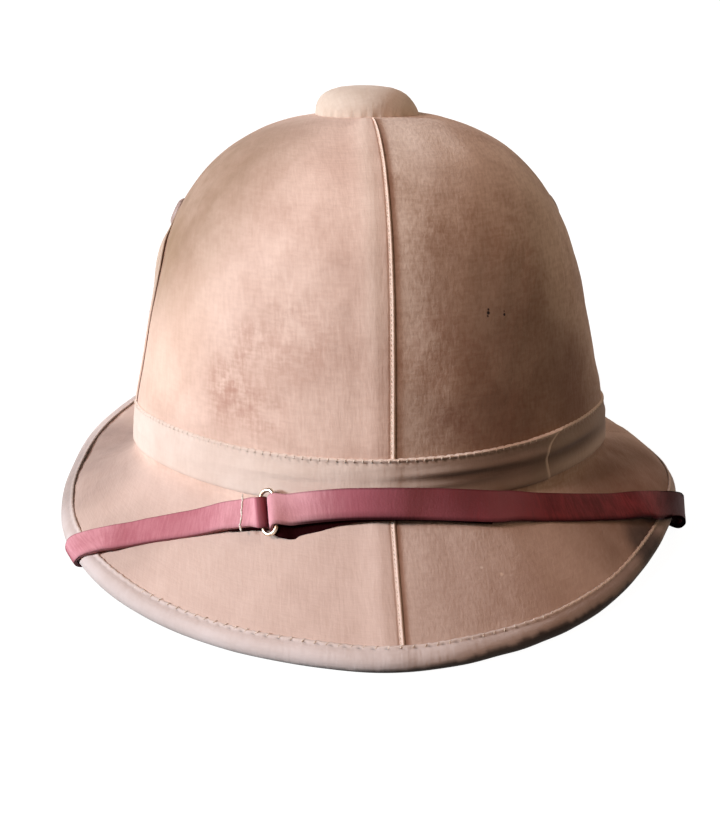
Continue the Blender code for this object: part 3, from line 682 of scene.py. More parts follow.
@dataclass(frozen=True)
class WovenCotton(Finish):
    """Plain-woven cotton drill, paled by the sun: a dry, matte cloth with uneven threads.

    The threads are about 0.4 mm thick on the real cloth, finer than a pixel here, so they
    are drawn 1.5 mm wide, as the slubs are, the thicker stretches of thread.
    """

    pale: str
    deep: str
    # colour of dirt and of painted shade
    soil_and_shade_colour: str = "8a5f4c"
    # pale tone of worn edges and of painted highlights
    rubbed_and_lit: str = "f0d9c6"
    # paler, bluer tone for painted light on the brim's upper side
    skylit: str = "cab0a5"
    pinhole: str = "200b05"
    thread: float = 1.5
    warp_run: float = 7.0
    weft_run: float = 5.5
    warp_weight: float = 1.1
    blotch: float = 26.0
    clouds_per_metre: float = 110.0
    mottle: float = 0.16
    roughness: float = 0.93
    relief: float = 0.2
    relief_height: float = 0.6
    marks: tuple[Mark, ...] = ()
    holes: tuple[Mark, ...] = ()
    specular: float = field(default=0.15, kw_only=True)

    def surface(self, node: NodeMaker) -> dict[str, object]:
        """Lay the brim's painted skylight, stained patches, dirt, worn edges, painted shade,
        painted highlights and pinholes over the woven cloth.

        Args:
            node: adds a node to the material.

        Returns:
            What goes into each of the shader's inputs.
        """
        place = node("TexCoord", out="Object")
        slubs = self.weave(node)
        blotches = node("TexNoise", {"Vector": place, "Scale": 1000 / self.blotch,
                                     "Detail": 5, "Roughness": 0.6})
        tone = node("Math", (
            node("MapRange", (slubs, 0.7, 1.3, -self.mottle, self.mottle), **SMOOTH),
            node("MapRange", (blotches, 0.3, 0.7, 0.1, 0.9), **SMOOTH)), operation="ADD")
        painted_skylight, soil_and_shade, worn = (node("Attribute", out="Fac", attribute_name=name)
                             for name in ("painted_skylight", "soil_and_shade", "wear_and_highlight"))
        # layers in order: random tone, painted skylight on the brim, the marks, dirt and painted
        # shade, worn edges and painted highlights
        layers = [(node("Math", (tone, 0), operation="MAXIMUM"), self.deep),
                  (painted_skylight, self.skylit), *self.stains_and_shade(node, place, slubs),
                  (soil_and_shade, self.soil_and_shade_colour), (worn, self.rubbed_and_lit)]
        layers += [(self.near(node, place, hole), self.pinhole) for hole in self.holes]
        colour = linear(self.pale)
        for cover, over in layers:
            colour = node("Mix", {0: cover, 6: colour, 7: linear(over)}, 2, **COLOURS)
        relief = node("Bump", {"Height": slubs, "Distance": self.relief_height * MM,
                               "Strength": self.relief})
        return {"Base Color": colour, "Roughness": self.roughness, "Normal": relief,
                "Sheen Weight": 0.12, "Sheen Roughness": 0.6}

    def weave(self, node: NodeMaker) -> Socket:
        """Draw the uneven threads of warp and weft as long thin streaks.

        Args:
            node: adds a node to the material.

        Returns:
            Their height, about 1.
        """
        cloth = node("UVMap", uv_map=CLOTH_MAP)
        across = 1 / self.thread
        threads = []
        for scale, weight in (((across, 1 / self.warp_run, 1), self.warp_weight),
                              ((1 / self.weft_run, across, 1), 2 - self.warp_weight)):
            lie = node("Mapping", {"Vector": cloth, "Scale": scale})
            streaks = node("TexNoise", {"Vector": lie, "Scale": 1, "Detail": 2,
                                        "Roughness": 0.55})
            threads.append(node("Math", (streaks, weight), operation="MULTIPLY"))
        return node("Math", threads, operation="ADD")

    def stains_and_shade(self, node: NodeMaker, place: Socket, slubs: Socket) -> list[tuple[Socket, str]]:
        """Spread the marks, stained patches, painted shade and painted highlights, the patchy ones
        drawn along the threads.

        Args:
            node: adds a node to the material.
            place: places on the helmet.
            slubs: height of the threads.

        Returns:
            How far each mark covers the cloth, and its colour.
        """
        clouds = node("TexNoise", {"Vector": place, "Scale": self.clouds_per_metre,
                                   "Detail": 4, "Roughness": 0.6})
        threads = node("Math", (slubs, 0.3, clouds), operation="MULTIPLY_ADD")
        cloudy = node("MapRange", (clouds, 0.3, 0.7, 0.86, 1.06), **SMOOTH)
        patchy = node("MapRange", (threads, 0.6, 1.05), **SMOOTH)
        return [(node("Math", (self.near(node, place, mark), patchy if mark.patchy else cloudy),
                      operation="MULTIPLY"), mark.colour) for mark in self.marks]

    def near(self, node: NodeMaker, place: Socket, mark: Mark) -> Socket:
        """Fall from a mark's strength over its core to 0 at its radius.

        Args:
            node: adds a node to the material.
            place: places on the helmet.
            mark: the mark.

        Returns:
            How strong the mark is at each place.
        """
        middle = tuple(FORM.placed(np.array(mark.place)))
        away = node("VectorMath", (place, middle), "Value", operation="DISTANCE")
        share = node("MapRange", (away, mark.radius * MM, mark.radius * mark.core * MM),
                     **SMOOTH)
        return node("Math", (share, mark.strength), operation="MULTIPLY")


@dataclass(frozen=True)
class TwistedThread(Finish):
    """Twisted cotton sewing thread: matte, with its ply showing as a fine slant."""

    colour: str
    shade: str
    specular: float = field(default=0.3, kw_only=True)

    def surface(self, node: NodeMaker) -> dict[str, object]:
        """Shade the hollows of the ply.

        Args:
            node: adds a node to the material.

        Returns:
            What goes into each of the shader's inputs.
        """
        ply = node("TexNoise", {"Vector": node("TexCoord", out="Object"), "Scale": 1800,
                                "Detail": 2, "Roughness": 0.55})
        colour = node("Mix", {0: node("MapRange", (ply, 0.35, 0.65), **SMOOTH),
                              6: linear(self.colour), 7: linear(self.shade)}, 2, **COLOURS)
        relief = node("Bump", {"Height": ply, "Distance": 0.3 * MM, "Strength": 0.5})
        return {"Base Color": colour, "Roughness": 0.8, "Normal": relief}


@dataclass(frozen=True)
class StrapLeather(Finish):
    """Wine-red vegetable-tanned strap leather: smooth grain, with a film of dust where it faces
    up, and painted light that pales it on the left.
    """

    name: str = "wine_strap_leather"
    grain_colour: str = "80262c"
    deep: str = "5a1216"
    # pale tones of dust and painted light
    rubbed_and_lit: str = "aa5d67"
    dust_and_light: str = "dfa0a5"
    # tone of the dark cut edges and of painted shade
    edge: str = "240a0c"
    grain: float = 0.9
    roughness: float = 0.58
    specular: float = field(default=0.22, kw_only=True)

    def surface(self, node: NodeMaker) -> dict[str, object]:
        """Lay clouds, a film of dust and painted light, and the dark edges and painted shade over
        the grain.

        Args:
            node: adds a node to the material.

        Returns:
            What goes into each of the shader's inputs.
        """
        place = node("TexCoord", out="Object")
        cells = node("TexVoronoi", {"Vector": place, "Scale": 1000 / self.grain})
        lengthwise = node("Mapping", {"Vector": node("UVMap", uv_map=CLOTH_MAP),
                                      "Scale": (0.12, 0.9, 1)})
        streaks = node("TexNoise", {"Vector": lengthwise, "Scale": 1, "Detail": 4,
                                    "Roughness": 0.7})
        clouds = node("TexNoise", {"Vector": place, "Scale": 60, "Detail": 4,
                                   "Roughness": 0.55})
        dusty_and_lit, edge_and_shade = (node("Attribute", out="Fac", attribute_name=name)
                      for name in ("dust_and_light", "edge_and_shade"))
        tanned = node("Math", (streaks, 0.9, clouds), operation="MULTIPLY_ADD")
        cloudy = node("Math", (clouds, streaks), operation="ADD")
        film = node("Math", (dusty_and_lit, node("MapRange", (cloudy, 0.7, 1.25, 0.82, 1.08),
                                         **SMOOTH)), operation="MULTIPLY")
        colour = linear(self.grain_colour)
        # dust and painted light pale the leather through the film
        for share, low, high, over in ((tanned, 0.75, 1.15, self.deep),
                                       (film, 0, 0.5, self.rubbed_and_lit),
                                       (film, 0.4, 1.05, self.dust_and_light)):
            cover = node("MapRange", (share, low, high), **SMOOTH)
            colour = node("Mix", {0: cover, 6: colour, 7: linear(over)}, 2, **COLOURS)
        # dark cut edges and painted shade
        colour = node("Mix", {0: edge_and_shade, 6: colour, 7: linear(self.edge)}, 2, **COLOURS)
        rough = node("MapRange", (clouds, 0.2, 0.8, self.roughness - 0.06,
                                  self.roughness + 0.08), **SMOOTH)
        height = node("Math", (cells, 0.7, streaks), operation="MULTIPLY_ADD")
        # the dark edges and the painted shade mirror nothing; material() also sets the even level
        # on the shader's own socket; the dark edge mirrors nothing; the export keeps the even
        # level that material() sets
        return {"Base Color": colour,
                "Roughness": node("Math", (dusty_and_lit, 0.3, rough), operation="MULTIPLY_ADD"),
                "Specular IOR Level": node("Math", (edge_and_shade, -self.specular, self.specular),
                                           operation="MULTIPLY_ADD"),
                "Normal": node("Bump", {"Height": height, "Distance": 0.2 * MM,
                                        "Strength": 0.35})}


@dataclass(frozen=True)
class DrawnBrass(Finish):
    """Drawn brass wire or stamped brass: warm metal, dulled by handling in soft patches."""

    bright: str
    dull: str
    roughness: float

    def surface(self, node: NodeMaker) -> dict[str, object]:
        """Dull the brass in patches of a few millimetres.

        Args:
            node: adds a node to the material.

        Returns:
            What goes into each of the shader's inputs.
        """
        patches = node("TexNoise", {"Vector": node("TexCoord", out="Object"), "Scale": 260,
                                    "Detail": 4, "Roughness": 0.55})
        colour = node("Mix", {0: node("MapRange", (patches, 0.4, 0.7), **SMOOTH),
                              6: linear(self.bright), 7: linear(self.dull)}, 2, **COLOURS)
        rough = node("MapRange", (patches, 0.3, 0.7, self.roughness, self.roughness + 0.2),
                     **SMOOTH)
        return {"Base Color": colour, "Roughness": rough, "Metallic": 1}


@dataclass(frozen=True)
class ChippedPaint(Finish):
    """Khaki stove paint on pressed tin, rubbed through to grey metal in small chips."""

    name: str = "worn_painted_tin"
    paint: str = "a98d83"
    metal: str = "857268"

    def surface(self, node: NodeMaker) -> dict[str, object]:
        """Chip the paint off in specks of about a millimetre.

        Args:
            node: adds a node to the material.

        Returns:
            What goes into each of the shader's inputs.
        """
        specks = node("TexNoise", {"Vector": node("TexCoord", out="Object"), "Scale": 900,
                                   "Detail": 4, "Roughness": 0.55})
        chips = node("MapRange", (specks, 0.52, 0.6), **SMOOTH)
        colour = node("Mix", {0: chips, 6: linear(self.paint), 7: linear(self.metal)}, 2,
                      **COLOURS)
        bare = node("MapRange", (chips, 0, 1, 0, 0.7), **SMOOTH)
        return {"Base Color": colour, "Roughness": 0.55, "Metallic": bare}


@dataclass(frozen=True)
class PressedPith(Finish):
    """Pressed plant pith, bare inside: pale tan, fibrous and slightly open-celled."""

    name: str = "pressed_pith"
    pale: str = "c9b48f"
    deep: str = "9c8360"
    cell: float = 2.2

    def surface(self, node: NodeMaker) -> dict[str, object]:
        """Draw the pith's cells between flattened fibres.

        Args:
            node: adds a node to the material.

        Returns:
            What goes into each of the shader's inputs.
        """
        place = node("TexCoord", out="Object")
        cells = node("TexVoronoi", {"Vector": place, "Scale": 1000 / self.cell})
        lie = node("Mapping", {"Vector": place, "Scale": (90, 90, 700)})
        fibres = node("TexNoise", {"Vector": lie, "Scale": 1, "Detail": 4,
                                   "Roughness": 0.55})
        tone = node("Math", (cells, 0.4, fibres), operation="MULTIPLY_ADD")
        colour = node("Mix", {0: node("MapRange", (tone, 0.4, 1), **SMOOTH),
                              6: linear(self.pale), 7: linear(self.deep)}, 2, **COLOURS)
        relief = node("Bump", {"Height": tone, "Distance": 0.6 * MM, "Strength": 0.6})
        return {"Base Color": colour, "Roughness": 0.95, "Normal": relief}


@dataclass(frozen=True)
class StudioPaper(Finish):
    """Matte paper that shows bright, with a fine tooth."""

    name: str = "pale_studio_paper"
    pale: str = "6d6b69"
    deep: str = "686664"

    def surface(self, node: NodeMaker) -> dict[str, object]:
        """Mix the two greys by the tooth, and make the paper bright by itself.

        Args:
            node: adds a node to the material.

        Returns:
            What goes into each of the shader's inputs.
        """
        tooth = node("TexNoise", {"Vector": node("TexCoord", out="Object"), "Scale": 900,
                                  "Detail": 2, "Roughness": 0.55})
        colour = node("Mix", {0: tooth, 6: linear(self.pale), 7: linear(self.deep)}, 2,
                      **COLOURS)
        return {"Base Color": colour, "Roughness": 0.9, "Emission Color": (1, 1, 1, 1),
                "Emission Strength": 0.97}


# ---- sewing ----


@dataclass(frozen=True)
class Stitching:
    """A row of thread stitches: pitch, length, width and height in millimetres."""

    pitch: float
    length: float
    width: float
    height: float
    slant: float = 0.0
    uneven: float = 6.0
    sides: int = 8
    rings: int = 5

    def stitch(self) -> tuple[Array, list[tuple[int, ...]]]:
        """Model one rounded stitch along X, from a flattened sphere.

        Returns:
            Its corners and its faces.
        """
        piece = primitive("stitch", bpy.ops.mesh.primitive_uv_sphere_add,
                          segments=self.sides, ring_count=self.rings, radius=0.5)
        bpy.ops.object.mode_set(mode="EDIT")
        bpy.ops.mesh.select_all(action="SELECT")
        bpy.ops.transform.rotate(value=math.radians(90), orient_axis="Y",
                                 center_override=(0, 0, 0))
        bpy.ops.transform.resize(value=(self.length, self.width, self.height),
                                 center_override=(0, 0, 0))
        bpy.ops.object.mode_set(mode="OBJECT")
        corners = np.array([v.co for v in piece.data.vertices])
        faces = [tuple(p.vertices) for p in piece.data.polygons]
        bpy.data.objects.remove(piece, do_unlink=True)
        return corners, faces

    def row(self, name: str, places: Array, facing: Array,
            seed: int) -> Piece:
        """Sew a row along a line.

        Args:
            name: name of the new object.
            places: points of the line in millimetres of the form.
            facing: the way out of the cloth at each point.
            seed: picks how each stitch sits.

        Returns:
            One object with all the stitches, at the origin.
        """
        run, even = along_line(places, self.pitch)
        spots = np.stack([np.interp(even, run, places[:, k]) for k in range(3)], axis=1)
        ways = unit(np.stack([np.interp(even, run, facing[:, k]) for k in range(3)], axis=1))
        along = unit(np.gradient(spots, axis=0))
        across = unit(np.cross(ways, along))
        source = np.random.default_rng(seed)
        angle = np.radians(self.slant + source.normal(0, self.uneven, len(even)))[:, None]
        lie = along * np.cos(angle) + across * np.sin(angle)
        side = np.cross(ways, lie)
        grow = source.uniform(0.88, 1.1, len(even))
        corners, faces = self.stitch()
        points = (spots[:, None]
                  + lie[:, None] * (corners[None, :, 0] * grow[:, None])[..., None]
                  + side[:, None] * corners[None, :, 1, None]
                  + ways[:, None] * corners[None, :, 2, None])
        size = len(corners)
        all_faces = [tuple(i + k * size for i in face) for k in range(len(even)) for face in faces]
        mesh = bpy.data.meshes.new(name)
        mesh.from_pydata(FORM.placed(points.reshape(-1, 3)).tolist(), [], all_faces)
        piece = bpy.data.objects.new(name, mesh)
        bpy.context.scene.collection.objects.link(piece)
        in_edit_mode(piece, bpy.ops.mesh.normals_make_consistent, inside=False)
        bpy.ops.object.shade_smooth()
        return piece


# ---- what every piece is handed over with ----


def handed_over(piece: Piece, material: bpy.types.Material, slot: str,
                *nodes: str) -> None:
    """Give a piece its finish, its body and the CAD nodes it stands for.

    Args:
        piece: the piece.
        material: its finish.
        slot: material slot of the part; not used.
        nodes: CAD nodes that it replaces.
    """
    piece.data.materials.clear()
    piece.data.materials.append(material)
    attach(piece, BODY)
    if nodes:
        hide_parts(*nodes)
    triangles = sum(len(p.vertices) - 2 for p in piece.data.polygons)
    LOG.info("%s: %d triangles, %s", piece.name, triangles, material.name)


# ---- pith shell ----


@dataclass
class PithShell:
    """The moulded wall of crown and brim, seen from below."""

    wall: float = 4.0
    cover: float = 1.4
    columns: int = 180
    finish: PressedPith = field(default_factory=PressedPith)

    def build(self) -> None:
        """Lay the outer side, close its pole and give it its wall."""
        station = np.concatenate([np.linspace(0, 1, 56), np.linspace(1, 2, 9)[1:],
                                  np.linspace(2, 3, 25)[1:]])
        azimuth = np.linspace(0, 360, self.columns + 1)
        around, down = np.meshgrid(azimuth, np.maximum(station, 0.002))
        places = FORM.lifted(around, down, np.full(around.shape, -self.cover))
        facing = FORM.normal(around, down)
        shell = laid_sheet("pith_wall", places, facing, np.stack([around, down], axis=-1))
        in_edit_mode(shell, bpy.ops.mesh.remove_doubles, threshold=0.25 * MM)
        walled(shell, self.wall, 0.8)
        handed_over(shell, self.finish.material(), "pressed_pith", "pith_shell")


# ---- cloth covers ----


class LapRole(Enum):
    """Whether a panel lies over or under its neighbour at a seam."""

    OVER = "over"
    UNDER = "under"


@dataclass(frozen=True)
class Panel:
    """One cover panel: its node, its two seams, how it lies there and its cloth."""

    node: str
    start: float
    end: float
    at_start: LapRole
    at_end: LapRole
    cloth: WovenCotton


@dataclass
class ClothCovers:
    """Four cotton panels from the button to the brim edge, lapped at their seams.

    The front and back seams run on down the brim. The side seams are sewn flush above the
    eyelets and on the brim, and the left one has sprung a little below its eyelet.
    """

    panels: tuple[Panel, ...]
    wall: float = 0.85
    row_step: float = 1.5
    column_step: float = 1.9
    girth_radius: float = 104.0
    full_radius: float = 46.0
    # distance past the seam, height over the cloth: allowance, hollow, stitches, folded edge
    lap: Rows = (
        (-15, 0), (-11, 0.3), (-8, 0.62), (-5.5, 0.7), (-3.6, 0.56), (-2, 0.48),
        (-1.1, 0.4), (-0.5, 0.24), (-0.1, 0.3), (0.3, 0.62), (0.75, 0.92), (1.15, 0.9),
        (1.4, 0.66), (1.6, 0.3))
    over_columns: tuple[float, ...] = (
        -15, -13.4, -11.8, -10.2, -8.7, -7.3, -6, -4.9, -3.9, -3.1, -2.4, -1.85, -1.4,
        -1.1, -0.85, -0.62, -0.4, -0.15, 0.1, 0.35, 0.65, 0.95, 1.2, 1.4, 1.53, 1.6)
    under_columns: tuple[float, ...] = (
        -14, -11.5, -9, -6.8, -4.8, -3.4, -2.4, -1.8, -1.2, 0.3, 2.2)
    stitch_line: float = 0.1
    stitch_height: float = 0.42
    narrow: float = 0.62
    # height on the crown, turn of the left seam: it runs before its eyelet and springs out
    sprung: Rows = (
        (-30, 0), (5, 1), (10.7, 1.6), (25, 3.2), (41.6, 4.4), (50, 6),
        (57, 7.4), (62.5, 7.8), (66.5, 7), (70.5, 5), (74.5, 2.6), (79, 0.2),
        (84, -1.8), (91, -4), (98, -5), (130, -5))
    bulge: float = 1.7
    # height on the crown, turn of the front seam, which bows to the right
    bowed: Rows = (
        (-40, 0.1), (-10, 0.4), (5, 0.6), (40, 1), (70, 1.3), (95, 1.5),
        (115, 1.6), (130, 1.4))

    def stations(self) -> Array:
        """Rows from the button to the brim edge, about one row step apart.

        Returns:
            Their stations.
        """
        return np.concatenate([
            np.linspace(0.085, 1, round(165 / self.row_step)),
            np.linspace(1, 2, 10)[1:],
            np.linspace(2, 3, round(75 / self.row_step))[1:]])

    def crown_height(self, seam: float, station: Array) -> Array:
        """Height of each station in the crown's own frame."""
        return np.interp(FORM.crown_run(seam, np.minimum(station, 2)), FORM.run, FORM.height)

    def turn(self, seam: float, station: Array) -> Array:
        """Degrees by which a seam strays from its plane.

        Args:
            seam: azimuth of the seam.
            station: rows.

        Returns:
            The turn at each row.
        """
        tables = {FORM.seams[0]: self.bowed, FORM.seams[3]: self.sprung}
        if seam not in tables:
            return np.zeros_like(station)
        return read_rows(tables[seam], self.crown_height(seam, station))

    def fullness(self, seam: float, station: Array) -> Array:
        """How far a seam is lapped.

        Args:
            seam: azimuth of the seam.
            station: rows.

        Returns:
            1 where it is lapped in full, 0 where it is flush.
        """
        radius = FORM.level_radius(seam, station)
        if seam == FORM.seams[0]:
            return ease(21, 26, radius)
        if seam == FORM.seams[2]:
            return ease(30, 60, radius)
        return ease(80, 70, self.crown_height(seam, station)) * ease(2.05, 1.95, station)

    def slim(self, station: Array) -> Array:
        """How much of its width a seam's folded edge has: it is finer high on the crown."""
        return self.narrow + (1 - self.narrow) * ease(0.25, 0.85, station)

    def strip(self, role: LapRole, seam: float,
              station: Array) -> tuple[Array, Array, Array]:
        """Columns beside a seam.

        Args:
            role: how the panel lies there.
            seam: azimuth of the seam.
            station: rows.

        Returns:
            Distance past the seam, the same as an angle, and lift; rows x columns.
        """
        full = self.fullness(seam, station)[:, None]
        over = role is LapRole.OVER
        columns = np.array(self.over_columns if over else self.under_columns)
        d = np.repeat(columns[None, :], len(station), axis=0)
        slim = self.slim(station)[:, None]
        past = np.where(d > 0, d * (0.1 + 0.9 * full), d) * np.where(d > -2, slim, 1)
        past = np.where(d > -2, past, past + 2 * (1 - slim))
        rise = np.zeros_like(d)
        if over:
            rise = read_rows(self.lap, d) * full + 0.04 * (1 - full)
        radius = FORM.level_radius(seam, station)[:, None]
        past = past * np.minimum(1, radius / self.full_radius)
        return d, np.degrees(past / radius), rise

    def build(self) -> None:
        """Lay every panel."""
        for number, panel in enumerate(self.panels):
            self.build_panel(panel, number)

    def build_panel(self, panel: Panel, number: int) -> None:
        """Lay one panel with its laps, its swells and its puckers.

        Args:
            panel: the panel.
            number: its place in the row of panels, which picks its swells.
        """
        station = self.stations()
        start = panel.start + self.turn(panel.start, station)[:, None]
        end = panel.end + self.turn(panel.end, station)[:, None]
        first, first_turn, first_rise = self.strip(panel.at_start, panel.start, station)
        last, last_turn, last_rise = self.strip(panel.at_end, panel.end, station)
        left, right = start - first_turn[:, :1], end + last_turn[:, :1]
        count = round(math.radians(panel.end - panel.start) * self.girth_radius
                      / self.column_step)
        share = np.linspace(0, 1, count)[1:-1]
        middle = left + (right - left) * share
        azimuth = np.concatenate([start - first_turn[:, ::-1], middle, end + last_turn], axis=1)
        blank = np.zeros_like(middle)
        rise = np.concatenate([first_rise[:, ::-1], blank, last_rise], axis=1)
        beside = np.concatenate([first[:, ::-1], blank - 99, last], axis=1)
        down = np.repeat(station[:, None], azimuth.shape[1], axis=1)
        plain = FORM.point(azimuth, down)
        flat = self.flat_places(panel, azimuth, down)
        tight = ease(0.95, 1, down) * ease(2.12, 2.02, down)
        free = ease(-2.5, -12, beside) * (1 - tight)
        swell = 0.32 * ripple(plain, 55, 11 + number) + 0.13 * ripple(plain, 17, 31 + number)
        streak = 0.07 * ripple(flat * np.array([1, 0.35]), 4.5, 51 + number)
        offset = rise + free * (swell + streak * ease(0.3, 0.6, down))
        if FORM.seams[3] in (panel.start, panel.end):
            height = self.crown_height(FORM.seams[3], station)[:, None]
            loose = self.bulge * (1 if panel.end == FORM.seams[3] else 0.55)
            offset = offset + loose * hump(height, 66, 10) * hump(
                azimuth, FORM.seams[3], 10)
        places = plain + FORM.normal(azimuth, down) * offset[..., None]
        cover = laid_sheet(panel.node + "_cloth", places, FORM.normal(azimuth, down), flat)
        over = np.concatenate([
            np.full(first.shape[1], panel.at_start is LapRole.OVER), np.zeros(middle.shape[1]),
            np.full(last.shape[1], panel.at_end is LapRole.OVER)]).astype(float)
        lapped = np.concatenate([
            np.repeat(self.fullness(panel.start, station)[:, None], first.shape[1], axis=1),
            blank, np.repeat(self.fullness(panel.end, station)[:, None], last.shape[1], axis=1)],
            axis=1)
        # painted highlight along each lap's folded edge and on its allowance, with some rubbing
        marked(cover, "wear_and_highlight", lapped * over * (
            (0.6 - 0.15 * ease(1.9, 2.1, down)) * hump(beside, 1, 0.6)
            + 0.42 * ease(0.95, 0.6, down) * hump(beside, -6, 4.5)))
        # painted shade and painted shadow beside the laps
        marked(cover, "soil_and_shade", self.soil_and_shade(plain, beside, over, lapped, down))
        # painted light: the whole brim drawn paler and bluer, as if lit by the sky
        marked(cover, "painted_skylight", 0.6 * ease(1.95, 2.3, down))
        walled(cover, self.wall, 0.2)
        handed_over(cover, panel.cloth.material(), "cotton_cover", panel.node)

    def flat_places(self, panel: Panel, azimuth: Array, down: Array) -> Array:
        """Places on the flat cloth, whose threads run along the front or the back seam.

        Args:
            panel: the panel.
            azimuth: angles of its points.
            down: stations of its points.

        Returns:
            Places in millimetres.
        """
        front = panel.node.startswith("cover_front")
        middle = FORM.seams[0] if front else math.copysign(180, panel.start + panel.end)
        run = run_along(FORM.point(middle, down[:, 0]))
        across = np.radians(azimuth - middle) * FORM.level_radius(azimuth, down)
        return np.stack([across, np.broadcast_to(-run[:, None], across.shape)], axis=-1)

    def soil_and_shade(self, plain: Array, beside: Array, over: Array,
             lapped: Array, down: Array) -> Array:
        """Painted shade in the groove beside each lap, painted shadow under its folded edge, and a
        darker line just above the band.

        Args:
            plain: points of the cloth.
            beside: distance past the seam.
            over: 1 where the panel lies on top.
            lapped: how far the seam is lapped.
            down: stations of the points.

        Returns:
            Strength of the painted shade and the darker line at each point.
        """
        # painted shade in the groove on the upper panel, and the folded edge's painted shadow on
        # the panel beneath
        lap = 0.16 * over * hump(beside, -1, 1)
        tucked = 0.75 * (1 - over) * hump(beside, -1.9, 1.9 - 0.9 * ease(0.3, 0.9, down))
        band = 0.12 * hump(down, 0.985, 0.02)
        patchy = 0.5 + 0.5 * np.clip(ripple(plain, 21, 77), -1, 1)
        return np.clip((lap + tucked) * lapped * (0.7 + 0.3 * patchy) + band * patchy, 0, 0.8)

    def seam_line(self, seam: float, side: float, low: float,
                  high: float) -> tuple[Array, Array]:
        """Line of the stitches on a seam's upper panel between two stations.

        Args:
            seam: azimuth of the seam.
            side: 1 where the upper panel lies before the seam, -1 where it lies after it.
            low: first station.
            high: last station.

        Returns:
            Points and the way out of the cloth at each.
        """
        station = np.linspace(low, high, 120)
        radius = FORM.level_radius(seam, station)
        scale = np.minimum(1, radius / self.full_radius) * self.slim(station)
        azimuth = seam + self.turn(seam, station) + side * np.degrees(
            self.stitch_line * scale / radius)
        height = self.stitch_height * self.fullness(seam, station)
        return FORM.lifted(azimuth, station, height), FORM.normal(azimuth, station)


@dataclass
class SeamSewing:
    """Machine stitches along the folded edge of each seam, seen as a row of small beads."""

    covers: ClothCovers
    thread: TwistedThread = TwistedThread("pale_seam_thread", "dfc9b3", "b4977e")
    stitching: Stitching = Stitching(pitch=1.9, length=1.7, width=0.5, height=0.4, slant=14)
    # seam, side of its upper panel, and the stations of its sewn stretches
    runs: tuple[tuple[str, int, float, Rows], ...] = (
        ("front", 0, 1, ((0.19, 0.99), (2.02, 2.92))),
        ("right", 1, -1, ((0.52, 0.99),)),
        ("back", 2, -1, ((0.3, 0.99), (2.02, 2.92))),
        ("left", 3, 1, ((0.62, 0.99),)))

    def build(self) -> None:
        """Sew each seam."""
        material = self.thread.material()
        for name, seam, side, stretches in self.runs:
            for part, (low, high) in enumerate(stretches):
                places, facing = self.covers.seam_line(FORM.seams[seam], side, low, high)
                row = self.stitching.row(f"seam_{name}_{part + 1}", places, facing, 5 + seam)
                handed_over(row, material, "cotton_cover")


# ---- band ----


